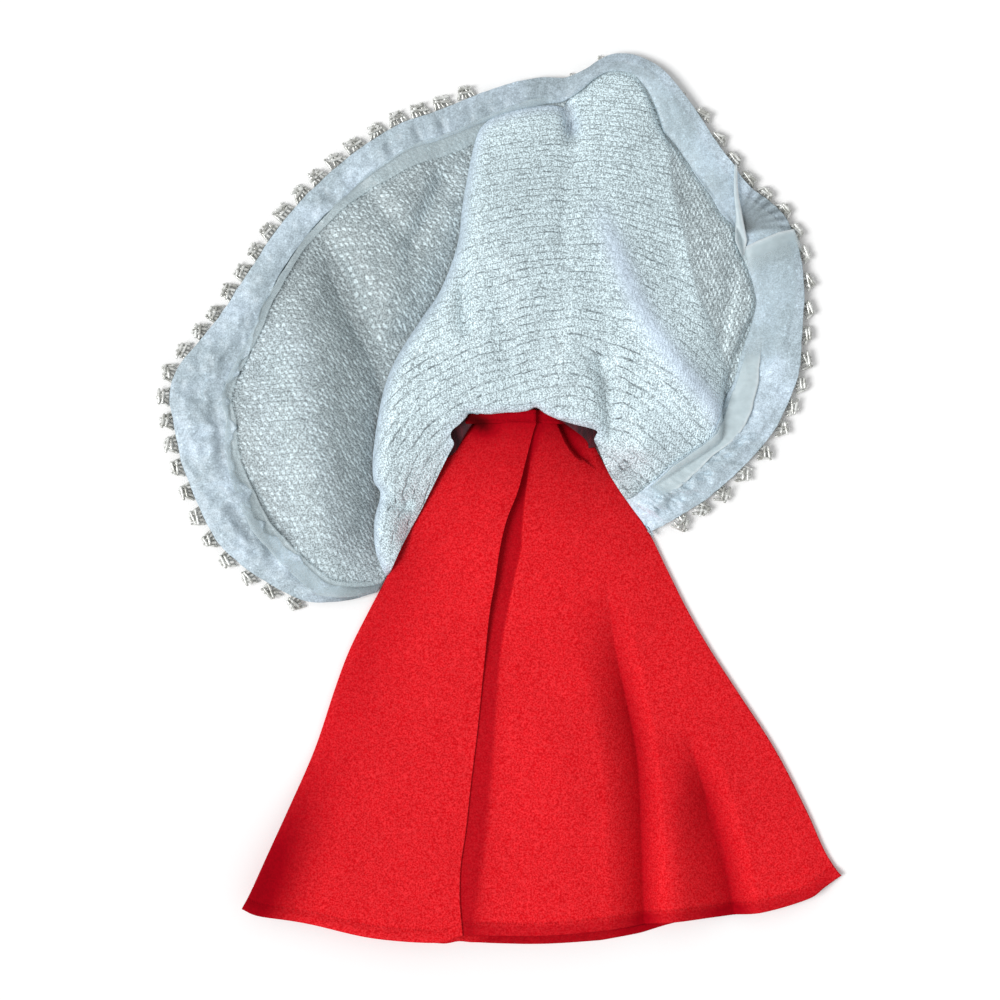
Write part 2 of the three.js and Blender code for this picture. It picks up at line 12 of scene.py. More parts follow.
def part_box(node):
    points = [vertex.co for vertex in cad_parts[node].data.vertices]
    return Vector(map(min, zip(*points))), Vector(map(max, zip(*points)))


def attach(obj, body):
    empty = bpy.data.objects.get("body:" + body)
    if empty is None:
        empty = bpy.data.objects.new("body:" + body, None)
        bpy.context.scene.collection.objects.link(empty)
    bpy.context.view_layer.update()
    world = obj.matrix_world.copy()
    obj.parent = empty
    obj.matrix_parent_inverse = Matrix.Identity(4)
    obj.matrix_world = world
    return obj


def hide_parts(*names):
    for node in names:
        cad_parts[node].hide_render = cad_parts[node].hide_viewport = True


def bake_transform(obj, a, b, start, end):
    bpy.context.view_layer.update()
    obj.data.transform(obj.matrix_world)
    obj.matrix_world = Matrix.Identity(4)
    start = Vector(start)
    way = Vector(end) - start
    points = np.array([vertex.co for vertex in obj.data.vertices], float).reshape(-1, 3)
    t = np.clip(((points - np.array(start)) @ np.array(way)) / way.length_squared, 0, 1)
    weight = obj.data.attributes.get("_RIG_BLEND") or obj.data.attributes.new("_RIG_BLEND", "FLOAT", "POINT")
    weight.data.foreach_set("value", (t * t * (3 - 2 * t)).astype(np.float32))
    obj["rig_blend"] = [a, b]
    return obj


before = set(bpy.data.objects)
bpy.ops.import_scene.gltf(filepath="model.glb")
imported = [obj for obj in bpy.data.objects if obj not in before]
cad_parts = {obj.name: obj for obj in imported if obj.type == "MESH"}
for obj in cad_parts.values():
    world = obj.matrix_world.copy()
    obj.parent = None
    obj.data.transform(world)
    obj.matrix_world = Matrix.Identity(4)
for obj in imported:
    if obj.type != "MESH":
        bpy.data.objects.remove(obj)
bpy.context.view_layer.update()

# Scale of the photograph's plan
PIXEL = 0.324
MIDDLE_PX = 500
DEGREE = math.pi / 180
MILLIMETRE = 0.001
UP = np.array([0.0, 0.0, 1.0])
TINY = 1e-12

# Steps between the marks of a traced line, and rounds in which a grid settles between its edges
LINE_STEPS = 6
FOLD_STEPS = 3
TAIL_STEPS = 8
TAPE_STEPS = 12
SETTLE_ROUNDS = 8

# Cloth
CLOTH = 0.45
LAYER_GAP = 0.3
SEAM_GAP = 0.05
SEED = 11

# Columns and rows of the larger sheets
FRONT_GRID = (150, 170)
RIGHT_GRID = (260, 240)
LEFT_GRID = (200, 220)
PUFF_GRID = (460, 150)
WING_GRID = (380, 110)
FACING_GRID = (620, 30)
END_CROWDING = 0.75

# Seeded relief: height, size of its features, octaves and layer of the noise
RED_RIPPLE = (0.35, 26.0, 2, 0.0)
PUFF_RIPPLE = (0.35, 14.0, 2, 3.0)
WING_RIPPLE = (0.4, 9.0, 2, 5.0)
HEM_WAVER = (0.25, 5.0, 2, 7.0)
FACING_WAVER = (0.5, 16.0, 2, 8.0)
FACING_RAGS = (3.4, 7.0, 3, 18.0)
FACING_RIDGES = (2.4, 10.0, 2, 9.0)
FACING_GATHERS = (0.68, 2.6, 2, 20.0)
FACING_PEBBLES = (0.2, 2.8, 2, 10.0)
RIGHT_RIDGES = (2.4, 4.0, 2, 21.0)
RIBBON_WAVER = (0.5, 9.0, 2, 12.0)
RIBBON_WAVES = (0.4, 5.0, 2, 14.0)

# How folds fade in and out along their lines, and how sharp a crease is
FOLD_FADE_IN = 0.25
CREASE_FADE_IN = 0.45
FADE_OUT = (1.25, 0.9)
CREASE_POWER = 1.4

# Red wrap skirt
WAIST_X = 7.5
WAIST_Y = 24.6
WAIST_WIDTH = 38.2
FLARE_LEFT = 24.6 * DEGREE
FLARE_RIGHT = 30 * DEGREE
DOME_AT_WAIST = 5.6
DOME_AT_HEM = 8.2
DOME_POWER = 2.6
SIDE_RELIEF = 0.25
SIDE_RELIEF_GAIN = 3.0
HEM_TURN = 4.0
HEM_BULGE = 0.9
HEM_LEAST_BULGE = 0.5
FRONT_HEM_BULGE = 0.35
UNDERLAP = 12.0
WAIST_LIFT_LEFT = 1.45
WAIST_LIFT_RIGHT = 0.6
WAIST_LIFT_REACH = 6.0
WAIST_OVERLAP = 0.7

# Free flap of the wrap, and the crease about which it lifts
FLAP_LIFT = 1.7
FLAP_LIFT_WIDTH = 9.0
FLAP_LIFT_FROM = (0.02, 0.16)
FLAP_LIFT_TO = (0.55, 0.24)
FLAP_THIN = 0.25
FLAP_THIN_WIDTH = 6.0
FLAP_HEM_WIDTH = 36.0
FLAP_ROOT_WIDTH = 1.8
LAP_START = -0.72
CREASE_HALF = 3.0
CREASE_LEVEL = 9.0
CREASE_HEM_RISE = 2.0

# Free edge of the wrap, from the waist to the hem
WRAP_EDGE_PX = [
    (536, 424), (533, 433), (526, 460), (518, 491), (507, 519), (500, 548), (495, 582), (490, 610),
    (485, 657), (478, 726), (471, 784), (466, 830), (461, 864), (460, 898), (463, 934),
]

# Side edges of the skirt, from the waist to the hem, and the hem
LEFT_SIDE_PX = [
    (466, 424), (449, 450), (430, 490), (409, 530), (390, 570), (369, 610), (349, 650), (334, 690),
    (314, 750), (288, 810), (270, 850), (252, 890), (243, 907),
]
RIGHT_SIDE_PX = [
    (582, 424), (597, 450), (620, 490), (648, 530), (668, 570), (688, 610), (711, 650), (737, 690),
    (776, 750), (807, 810), (825, 850), (837, 870), (843, 877),
]
HEM_PX = [
    (243, 907), (262, 915), (313, 924), (373, 937), (437, 941), (463, 934), (500, 934), (533, 934),
    (568, 932), (628, 926), (666, 921), (707, 918), (759, 913), (808, 900), (825, 889), (843, 877),
]

# How far the front layer's hem shows below the others, by pixel column
FRONT_PEEK = [
    (243, 0.2), (400, 0.3), (440, 1.6), (470, 3.6), (600, 4.4), (640, 3.4), (680, 1.2), (705, 0.3),
    (843, 0.2),
]

# Soft folds of the red skirt: line, height, and width on its left and right for one who walks along it
RED_FOLDS = [
    ([(684, 740), (676, 820), (674, 940)], 2.0, 7.0, 6.0),
    ([(560, 700), (556, 800), (560, 930)], 1.0, 12.0, 14.0),
    ([(372, 660), (352, 760), (330, 860), (318, 925)], 1.4, 12.0, 12.0),
]

# Sharp valleys of the red skirt, in the same form
RED_CREASES = [
    ([(604, 560), (614, 640), (627, 700), (637, 750), (641, 800), (643, 860), (645, 925)], -5.4, 7.0, 12.0),
    ([(682, 715), (702, 780), (719, 835), (731, 885), (738, 930)], -5.6, 8.0, 20.0),
    ([(548, 404), (560, 424), (567, 440), (575, 452), (582, 458)], -2.4, 6.5, 1.0),
    ([(822, 800), (832, 850), (838, 876)], -1.6, 3.0, 9.0),
]

# Right edge of the sunken strip beside the wrap's free edge, and its depth
STRIP_EDGE_PX = [
    (538, 424), (534, 445), (528, 475), (524, 505), (522, 530), (521, 548), (515, 575), (509, 605),
    (502, 645), (498, 685), (495, 735), (492, 785), (488, 830), (483, 870), (478, 905), (475, 930),
]
STRIP_DEPTH = 0.9
STRIP_DEPTH_TO = (0.55, 0.25)
STRIP_WALL = 0.8
STRIP_WALL_HEM = 4.0
STRIP_WIDENS = (0.3, 0.9)
STRIP_START = 0.12

# Painted shade of the red: a painted shadow beside the strip, and painted shade at the waist, in the valleys,
# on the turned-up corner and along the hem; values are shares towards the shaded colour, widths and reaches
STRIP_PAINTED_SHADOW = 0.72
STRIP_SOFT = 2.0
STRIP_SOFT_HEM = 6.5
STRIP_SOFTENS = (0.2, 0.8)
WAIST_PAINTED_SHADE = 0.92
WAIST_PAINTED_SHADE_REACH = 17.0
VALLEY_PAINTED_SHADE = 0.8
CORNER_PAINTED_SHADE = 1.0
FRONT_HEM_PAINTED_SHADE = 0.3
HEM_PAINTED_SHADOW_LINE = 1.15
HEM_LINE_WIDTH = 0.75
HEM_EDGE_PAINTED_SHADE = 0.5
HEM_EDGE_SHADE_WIDTH = 5.0
HEM_EDGE_SHADE_FROM_PX = (455, 500)
HEM_EDGE_SHADE_TO_PX = (850, 815)

# Painted shadows on the red cloth, in the gaps beside the waist and along its left side: line, share, width
# on its left and right
RED_PAINTED_SHADOWS = [
    ([(452, 412), (462, 414), (474, 420), (486, 428)], 0.85, 3.4, 3.0),
    ([(552, 412), (570, 424), (588, 434), (600, 440)], 0.6, 1.4, 1.6),
    ([(554, 412), (562, 428), (570, 444), (580, 456)], 0.25, 2.4, 0.5),
    ([(436, 480), (394, 580), (352, 680), (306, 800), (262, 900)], 0.36, 13.0, 6.0),
]

# The left corner of the hem turns up, with both layers: line from below the hem, height and width
CORNER_LINE_PX = [(218, 968), (240, 914), (264, 855), (304, 765), (340, 690)]
CORNER_HEIGHT = 9.0
CORNER_WIDTH = 12.5
CORNER_FADE = (0.85, 0.25)
CORNER_SIDE = (0.7, 1.0)

# Waistband
BAND_HEIGHT = 4.8
BAND_WALL = 0.7
BAND_LAP = 9.0
SNAP_STACK = 1.1
BAND_OPEN = 0.5
BAND_END_POINTS = 20
BAND_BACK_POINTS = 24
BAND_TURN_POINTS = 17
BAND_ROWS = 14
BAND_EDGE_POWER = 12
BAND_STITCH_SPREAD = 8.0
BAND_STITCH_IN = 2.2

# Silver overskirt, in bearings from the middle of the waist
OVER_X = 11.3
OVER_Y = 25.9
OVER_START = -44.5
OVER_FINISH = 228.5
PUFF_SHORT = 2.0
FOLD_BEARING = 98.0
NOTCH_START = 82.5
NOTCH_END = 85.0
HEM_SPLIT = 63.5
OVER_HEM_PX = [
    (650, 532), (665, 525), (690, 510), (710, 497), (735, 475), (755, 455), (775, 430), (790, 400),
    (800, 370), (803, 330), (805, 290), (802, 260), (797, 240), (785, 215), (770, 200), (750, 185),
    (735, 165), (720, 145), (705, 122), (690, 100), (665, 70), (640, 55), (615, 52), (600, 58),
    (585, 68), (565, 76), (540, 76), (510, 82), (480, 92), (460, 100), (430, 112), (400, 122),
    (370, 140), (345, 158), (320, 180), (300, 200), (275, 230), (255, 260), (235, 290), (215, 320),
    (190, 350), (175, 370), (168, 395), (172, 420), (180, 460), (195, 500), (215, 540), (240, 565),
    (270, 585), (300, 600), (320, 603), (350, 600), (385, 590),
]
FOLD_EDGE_PX = [
    (572, 128), (566, 109), (552, 104), (530, 106), (505, 112), (486, 121), (475, 140), (463, 200),
    (457, 245), (440, 290), (420, 320), (395, 360), (382, 395), (373, 450), (373, 480), (380, 494),
    (374, 520), (375, 550), (385, 575), (396, 590),
]

# Edge of the raised cloth on the right, from the red skirt round to the notch
RIGHT_EDGE_PX = [
    (604, 474), (626, 489), (648, 489), (680, 470), (706, 453), (720, 442), (723, 430), (723, 410),
    (726, 385), (734, 360), (744, 335), (756, 300), (746, 268), (735, 225), (690, 165), (662, 130), (642, 82),
    (615, 70), (595, 78), (578, 97), (572, 128),
]

# Lower edge of the raised cloth, and its stretch over the waist
LOWER_EDGE_PX = [
    (655, 536), (640, 518), (626, 499), (612, 478), (604, 462), (598, 448), (594, 440), (597, 432),
    (588, 428), (575, 425), (565, 422), (556, 419), (545, 414), (536, 408), (528, 411), (518, 412.5),
    (505, 413), (490, 414.5), (480, 414), (470, 413.5), (466, 418), (459, 425), (452, 431), (451, 437),
    (454, 444), (448, 456), (440, 472), (431, 490), (421, 510), (410, 530), (400, 550), (391, 570),
    (381, 588),
]
WAIST_MARKS = slice(6, 26)

# Rolled edges of the raised cloth
WAIST_EDGE_LEVEL = 9.3
WAIST_ROLL = 2.2
LIP_LEVELS = (6.0, 7.5)
FOLD_ROLL = 6.0
FOLD_FLOOR = 3.0
RIGHT_ROLL = 3.2
RIGHT_FLOOR = 3.4
RED_CLEARANCE = 0.4
PUFF_GROUND = 1.0
PUFF_LEAST = 0.2

# Heights of the raised knit cloth, as pixel place and millimetres above the table
PUFF_LEVELS = [
    (470, 412, 11.0), (505, 411, 11.2), (540, 410, 11.4), (575, 425, 11.0), (600, 432, 10.5),
    (449, 450, 7.2), (430, 490, 4.2), (409, 530, 3.0), (390, 572, 2.0),
    (415, 430, 11.0), (405, 480, 8.4), (398, 530, 6.4), (392, 565, 4.4),
    (398, 400, 12.6), (388, 450, 10.8), (390, 500, 8.2), (390, 550, 6.0),
    (405, 365, 14.0), (438, 325, 15.0), (458, 290, 15.0), (474, 245, 15.6), (480, 200, 14.4), (492, 145, 9.0),
    (500, 380, 14.0), (540, 370, 15.5), (480, 330, 17.5), (530, 320, 19.0), (520, 260, 19.5),
    (540, 200, 16.6), (520, 150, 11.0), (560, 150, 11.0), (600, 150, 13.0), (620, 110, 9.0),
    (590, 190, 16.4), (625, 280, 18.6), (650, 330, 18.4), (680, 370, 16.4), (710, 405, 11.0),
    (640, 400, 15.0), (660, 440, 13.0), (640, 450, 13.4), (625, 440, 12.0),
    (690, 440, 8.8), (702, 452, 6.4), (665, 472, 6.6), (640, 465, 8.4),
    (650, 110, 7.0), (668, 160, 8.6), (680, 210, 10.4), (695, 280, 11.4),
    (715, 220, 7.6), (725, 280, 8.4), (735, 330, 7.8), (745, 300, 6.6), (720, 380, 8.0), (735, 360, 5.0),
    (745, 270, 5.6), (757, 300, 5.6), (748, 345, 5.4), (738, 390, 5.4), (725, 435, 5.4),
    (692, 470, 4.8), (650, 492, 4.2), (716, 436, 6.4),
    (492, 128, 7.0), (540, 114, 7.0), (562, 114, 6.0), (580, 100, 5.0), (600, 80, 4.0), (640, 75, 4.0),
    (665, 120, 4.5), (690, 165, 5.0), (720, 210, 4.5),
    (590, 68, 2.4), (615, 54, 2.4), (690, 100, 2.8), (735, 165, 3.2), (797, 240, 3.2),
    (805, 290, 3.2), (803, 330, 3.2), (800, 370, 3.2), (775, 430, 3.0), (735, 475, 2.6),
    (690, 510, 2.0), (650, 532, 1.6), (604, 470, 2.2), (620, 490, 1.6), (632, 510, 1.2), (648, 530, 1.0),
]
PUFF_FOLDS = [
    ([(590, 190), (625, 280), (650, 330), (680, 370), (715, 410), (724, 440)], 1.6, 4.5, 4.5),
    ([(598, 340), (604, 380), (608, 402), (612, 430)], -2.8, 3.2, 3.6),
    ([(562, 96), (570, 118), (572, 136)], -3.0, 2.2, 1.6),
    ([(574, 110), (568, 190), (560, 250)], -0.8, 4.0, 3.0),
    ([(640, 80), (665, 130), (672, 190), (684, 240), (697, 295), (704, 330)], 1.0, 2.0, 3.5),
    ([(463, 250), (463, 285), (466, 330)], -2.0, 2.0, 2.6),
    ([(520, 390), (505, 340), (500, 280)], -1.0, 5.0, 5.0),
    ([(560, 400), (570, 350), (575, 300)], 0.9, 4.0, 4.0),
    ([(415, 500), (400, 505), (380, 494)], -1.8, 2.0, 2.0),
    ([(745, 240), (728, 300), (720, 360)], -1.2, 2.4, 3.0),
]

# Heights of the low knit cloth on the left
WING_LEVELS = [
    (470, 150, 1.6), (450, 260, 1.5), (400, 335, 1.5), (380, 580, 1.1),
    (327, 244, 1.6), (340, 275, 1.3), (352, 305, 1.2), (366, 332, 1.2), (378, 362, 1.2), (381, 400, 1.2),
    (379, 450, 1.2), (377, 500, 1.2), (374, 545, 1.2),
    (290, 300, 5.6), (303, 340, 8.2), (315, 400, 9.6), (325, 470, 9.4), (334, 530, 7.4), (345, 580, 3.0),
    (335, 330, 5.4), (348, 400, 5.8), (352, 470, 5.6), (354, 530, 4.4), (318, 285, 4.2),
    (352, 262, 4.6), (372, 295, 5.2), (392, 322, 4.2), (385, 250, 6.4), (345, 215, 3.8), (410, 280, 5.0),
    (400, 200, 6.2), (428, 240, 4.5), (430, 175, 4.0),
    (297, 240, 1.8), (262, 300, 1.7), (235, 385, 1.8), (236, 430, 2.6), (252, 480, 2.8), (285, 540, 2.6),
    (262, 350, 3.6), (270, 420, 5.6), (288, 480, 6.0), (312, 580, 1.8),
    (430, 145, 2.6), (380, 165, 2.8), (340, 200, 2.6),
    (575, 74, 1.8), (540, 80, 1.8), (505, 86, 1.8), (572, 112, 2.4), (540, 112, 2.2), (500, 120, 2.2),
    (460, 100, 1.6), (400, 122, 1.6), (345, 158, 1.6), (300, 200, 1.6), (255, 260, 1.6), (215, 320, 1.6),
    (168, 395, 1.6), (180, 460, 1.6), (215, 540, 1.6), (270, 585, 1.4), (320, 603, 1.3), (385, 590, 1.2),
]
WING_FOLDS = [
    ([(316, 224), (327, 244), (346, 290), (368, 336), (384, 372)], -1.2, 2.0, 4.0),
    ([(298, 238), (268, 292), (246, 340), (232, 392)], -1.4, 1.6, 2.4),
    ([(346, 172), (372, 200), (407, 236)], -2.0, 3.4, 5.0),
    ([(452, 156), (434, 200), (410, 250)], -2.1, 5.0, 3.4),
    ([(236, 462), (256, 500), (280, 548)], -1.4, 1.4, 2.6),
]
WING_TUCK = 7.0
WING_LEAST = 20.0
WING_LEAST_LEVEL = 0.6

# Rows and painted shade of the low cloth. Along the ridge the knit's rows show and the cloth is painted
# lighter, a painted highlight; a place of painted shade has a line, a share, and width on its left and right
WING_ROWS_PX = [(276, 360), (290, 430), (306, 500), (325, 560), (350, 590)]
WING_ROWS_WIDTH = 10.0
WING_ROWS_SHOW = 0.9
WING_ROW_SLANT = 0.25
WING_RIDGE_HIGHLIGHT = 0.45
WING_SHADES = [
    ([(312, 224), (275, 289), (250, 332), (220, 384)], 0.5, 2.6, 2.0),
    ([(300, 196), (327, 244), (352, 300), (374, 360), (378, 430), (376, 530)], 0.22, 1.6, 10.0),
    ([(236, 466), (256, 502), (290, 546)], 0.45, 1.8, 1.6),
    ([(280, 300), (300, 380), (314, 460), (330, 540), (346, 600)], 0.09, 12.0, 12.0),
]

# Painted shade on the puff, in the same form; a negative share is painted light
PUFF_SHADES = [
    ([(525, 130), (528, 240), (540, 330)], 0.13, 16.0, 14.0),
    ([(440, 400), (500, 376), (560, 384), (620, 376)], 0.06, 9.0, 9.0),
    ([(640, 300), (665, 370), (690, 420), (700, 446)], -0.14, 12.0, 9.0),
    ([(600, 366), (604, 398), (608, 432)], 0.3, 1.6, 1.6),
    ([(562, 98), (567, 116), (571, 138)], 0.2, 1.6, 1.6),
    ([(612, 462), (632, 488), (652, 516)], 0.3, 4.0, 4.0),
    ([(675, 180), (690, 215), (728, 276)], 0.28, 0.9, 1.2),
    ([(634, 78), (648, 104), (662, 132), (684, 162)], -0.24, 1.6, 2.2),
]

# Where the raised cloth turns over on the right and shows its wrong side
RIGHT_TURN_PX = [
    (650, 488), (690, 466), (724, 442), (730, 395), (720, 350), (697, 295), (684, 240), (672, 190),
    (665, 130), (640, 80),
]
RIGHT_TURN_FROM = 30.0
RIGHT_TURN_SOFT = (0.6, -1.0)
RIGHT_TURN_SHARE = 0.95
# RIGHT_TURN_LIGHT is painted light that brightens the turned-over cloth
RIGHT_TURN_LIGHT = 0.38
RIGHT_TWILL = 66 * DEGREE
RIGHT_TWILL_PITCH = 1.05

# Pale places of the puff, with weaker rows
RIGHT_PALE = 0.12
RIGHT_PALE_PX = (610, 690)
RIGHT_PALE_BELOW = 14.0
STREAK_WIDTH = 3.8
FOLD_PALE = 0.85
FOLD_PALE_WIDTH = 2.6
WAIST_PALE = 0.4

# Width of the hem's facing, by bearing, and where its inner edge is ragged
FACING_WIDTHS = [
    (-38, 14.0), (-31, 15.5), (-18, 19.0), (-6, 18.0), (2, 20.5), (8, 22.4), (14, 21.4), (21, 20.0),
    (28, 17.4), (35, 18.6), (44, 13.6), (52, 12.8), (59, 12.8), (66, 14.5), (70, 10.0), (74, 6.2), (80, 6.5),
    (84, 7.5), (90, 9.5), (120, 9.2), (140, 8.8), (150, 9.0), (158, 10.5), (165, 15.0), (172, 19.0),
    (178, 19.5), (186, 17.0), (195, 15.8), (205, 15.8), (212, 13.0), (219, 9.0), (226, 5.0), (229, 4.0),
]
RAGS_FROM = (152, 166)
RAGS_TO = (216, 205)

# How crumpled the facing is, by bearing
FACING_CRUMPLES = [
    (-40, 2.4), (-10, 2.8), (5, 1.6), (30, 0.5), (38, 1.2), (46, 1.2), (55, 0.5), (75, 0.8), (90, 1.1),
    (150, 1.0), (165, 2.0), (205, 2.2), (218, 1.6), (229, 1.0),
]
FACING_PUFF = 0.7
FACING_CRUMPLE = 0.5
FACING_END = 8.0
FACING_START = 0.3
FACING_LEAST = 0.1
FACING_ROOM = 0.6
RIDGE_STRETCH = 1.4
GATHER_STRETCH = 0.25
RIM_STEP = 1.75

# At the right the facing is crumpled finely beside the hem, and smooth under the ribbon
RIGHT_CRUMPLE_TO = (18, 8)
RIGHT_CRUMPLE_BAND = (9.0, 12.0)
RIGHT_CRUMPLE_FINE = 0.6
RIGHT_SMOOTH = 0.85

# Painted shade of the facing, by bearing and by the depth of its folds; a negative value is painted light
FACING_SHADES = [
    (-45, -0.15), (20, -0.13), (30, -0.04), (46, -0.04), (52, -0.12), (60, -0.15), (80, 0.0),
    (86, 0.14), (106, 0.1), (114, -0.02), (220, 0.0), (224, 0.4), (229, 0.3),
]
FACING_SHADE = 0.16

# Folds of the facing, and painted shadows on its creases and edges: line, height or share, width on its left
# and right
FACING_FOLDS = [
    ([(412, 122), (420, 140), (424, 152)], -1.2, 0.9, 1.2),
    ([(438, 114), (446, 134), (450, 144)], -1.2, 0.9, 1.2),
    ([(384, 138), (391, 152), (398, 166)], -1.0, 1.0, 1.2),
    ([(318, 186), (334, 202), (346, 216)], -1.6, 1.0, 1.4),
    ([(226, 500), (236, 518), (250, 538)], -1.8, 0.9, 1.6),
    ([(248, 512), (258, 530), (270, 550)], -1.8, 0.9, 1.6),
    ([(206, 400), (218, 430), (222, 466)], -1.4, 1.2, 1.6),
    ([(196, 384), (212, 392), (228, 396)], 1.0, 1.5, 1.5),
    ([(606, 60), (630, 66), (660, 76)], -1.2, 1.2, 1.6),
]
FACING_PAINTED_SHADOWS = [
    ([(702, 178), (720, 196), (738, 214), (746, 232)], 0.14, 2.4, 2.4),
    ([(742, 214), (758, 210), (772, 208), (788, 210)], 0.14, 6.0, 5.0),
    ([(578, 74), (600, 60), (622, 56), (648, 62)], 0.22, 2.6, 2.6),
    ([(300, 596), (326, 597), (352, 590), (384, 578)], 0.26, 2.6, 3.0),
    ([(770, 376), (758, 404), (744, 428), (728, 446)], 0.14, 2.0, 1.2),
    ([(786, 392), (772, 416), (752, 444), (722, 470)], 0.12, 1.2, 1.2),
]

# The facing is drawn together at the ribbon's knot: creases with painted shade run from there to the hem
KNOT_PX = (737, 232)
KNOT_ENDS_PX = [(756, 182), (766, 190), (774, 199), (782, 208), (789, 217), (795, 227)]
KNOT_BOW = 3
KNOT_DEPTH = -1.9
KNOT_PAINTED_SHADE = 0.24
KNOT_WIDTH = 0.9

# Ribbon stretches: bearing, then how far in from the hem its outer and inner edges lie
RIBBON_STRETCHES = [
    [(84, 6.0, 12.5), (99, 8.2, 14.6), (112, 8.2, 14.8), (122, 8.6, 13.6), (130, 9.0, 11.8),
     (145, 9.0, 10.9), (155, 9.4, 12.0), (163, 12.0, 14.8), (172, 17.2, 20.0), (180, 17.2, 20.6),
     (188, 14.0, 18.6), (197, 12.5, 18.6), (205, 11.0, 17.6), (212, 7.5, 14.2), (219, 3.5, 11.0),
     (226, 0.8, 7.5), (229, 0.4, 6.5)],
    [(9, 15.0, 23.0), (12, 11.0, 22.4), (18, 5.5, 20.8), (25, 3.0, 19.0), (31, 2.6, 18.8), (37, 3.0, 18.8),
     (44, 3.2, 14.6), (52, 3.4, 13.8), (59, 3.6, 13.8), (65, 3.6, 15.4), (70, 3.6, 11.0), (74, 3.0, 7.2),
     (81, 3.0, 7.4)],
    [(-33, 8.5, 14.2), (-25, 9.5, 16.4), (-18, 10.5, 18.0), (-10, 11.5, 17.8), (-4, 10.0, 17.2),
     (2, 11.0, 19.4), (8, 13.0, 21.2), (14, 14.0, 20.2), (20, 14.0, 18.6)],
]
RIBBON_EDGE_SHARES = [0.1, 0.0, 0.6]
RIBBON_DENSITIES = [0.3, 0.12, 0.72]

# Loose ends of the ribbon: path, widths along it, height above the facing, then how its two edges show and
# how dense it is beside each
RIBBON_TAILS = [
    ([(736, 164), (736, 190), (739, 216), (741, 240), (743, 256)], (1.0, 1.5, 2.2, 4.2, 0.8), 1.6,
     (0.9, 0.3), (0.7, 0.6)),
    ([(745, 262), (762, 255), (784, 246), (799, 240)], (9.0, 9.6, 9.6, 8.0), 0.4, (0.9, 0.0), (0.6, 0.0)),
]
RIBBON_THICK = 0.25
RIBBON_EDGE = 0.7
EDGE_DENSITY = 0.3
RIBBON_FADE = 7.0
RIBBON_ROWS = 16
RIBBON_LEAST_COLUMNS = 60
RIBBON_COLUMNS_PER_DEGREE = 3
RIBBON_WAVE_STRETCH = 6.0
RIBBON_SINK = 0.2
INNER_WAVER = 0.6
TAIL_ROWS = 12
TAIL_LAYERS = 4

# Gathered seam tape under the raised cloth's waist edge; in the gaps beside the waist its dark colour is
# painted shade
TAPE_PX = [
    (596, 447), (595, 441), (590, 434), (580, 426), (560, 412), (540, 402), (505, 403), (482, 408),
    (470, 416), (461, 428), (453, 442), (446, 456),
]
TAPE_LEVELS = [2.0, 4.0, 6.0, 8.0, 8.2, 8.2, 8.2, 8.2, 7.6, 6.0, 3.6, 2.0]
TAPE_WIDTH = 4.6
TAPE_THICK = 0.3
TAPE_GATHER = 0.15
TAPE_GATHER_STEP = 2.4
TAPE_ROWS = 9

# Bead fringe; profiles hold shares of a bead's length and of its radius
TUBE_PROFILE = [(0.0, 0.55), (0.05, 0.9), (0.14, 1.0), (0.86, 1.0), (0.95, 0.9), (1.0, 0.55)]
SEED_PROFILE = [(0.0, 0.35), (0.2, 0.82), (0.5, 1.0), (0.8, 0.82), (1.0, 0.35)]
BEAD_PITCH = 7.4
BEAD_RADIUS = 0.48
SEED_BEAD_RADIUS = 0.5
SEED_BEAD_HALF = 0.8
BEAD_SIDES = 8
BARS_PER_LOOP = 5
BAR_SPREAD = 5.8
BAR_TAPER = 0.42
BAR_ROOT = -0.8
BAR_LEAN = 0.3
BAR_LENGTHS = (0.75, 1.0)
BAR_SHARE = 0.86
LOOP_SWAY = 0.25
CROSS_BARS = (0.35, 0.72)
CROSS_HALVES = (0.3, 0.5)

# How far the bead loops reach from the hem, by bearing
LOOP_REACHES = [(-38, 4.8), (-5, 4.3), (12, 3.4), (36, 2.7), (64, 2.6), (98, 4.2), (220, 4.0)]

# Stretches of the fringe
TABLE_LEVEL = 0.85
RIGHT_LIFT = 0.7
EDGE_GAP = 0.5
HEADING_RADIUS = 0.3
HEADING_DROP = 0.45
HEADING_IN = 1.2
HEADING_POINTS = 40
HEADING_SIDES = 6
FRINGE_START = -38.0
LEFT_FRINGE_END = 219.5
TOP_FRINGE_IN = 1.2
LEFT_FRINGE_IN = 1.7
FRINGE_GAP = 0.2

# Knit rows: pitch near the waist, how fast it closes up outwards, and where the rows start
ROW_PITCH = 4.2
ROW_CLOSING = 0.0018
ROW_BASE_PX = [
    (430, 650), (435, 590), (446, 524), (464, 476), (500, 453), (540, 440), (575, 436), (604, 450),
    (640, 480), (690, 530),
]
ROW_LIFT = 0.9
WING_ROW_PITCH = 1.5
WING_STITCH = 0.56

# Colours, as 8-bit screen values
RED = (209, 11, 22)
RED_BRIGHT = (241, 50, 57)
RED_IN_PAINTED_SHADE = (166, 3, 20)
SILVER = (208, 227, 233)
SILVER_DARK = (98, 110, 116)
WING_GREY = (179, 193, 197)
LAVENDER = (205, 222, 238)
FACING_PALE = (179, 196, 205)
ORGANZA_PALE = (212, 228, 233)
ORGANZA_EDGE = (232, 239, 242)
TAPE_PAINTED_SHADE = (44, 24, 34)
TAPE_RED_BOUNCE = (98, 14, 28)
BEAD_SILVER = (236, 238, 235)
BEAD_DARK = (168, 169, 163)
BRASS = (205, 160, 82)

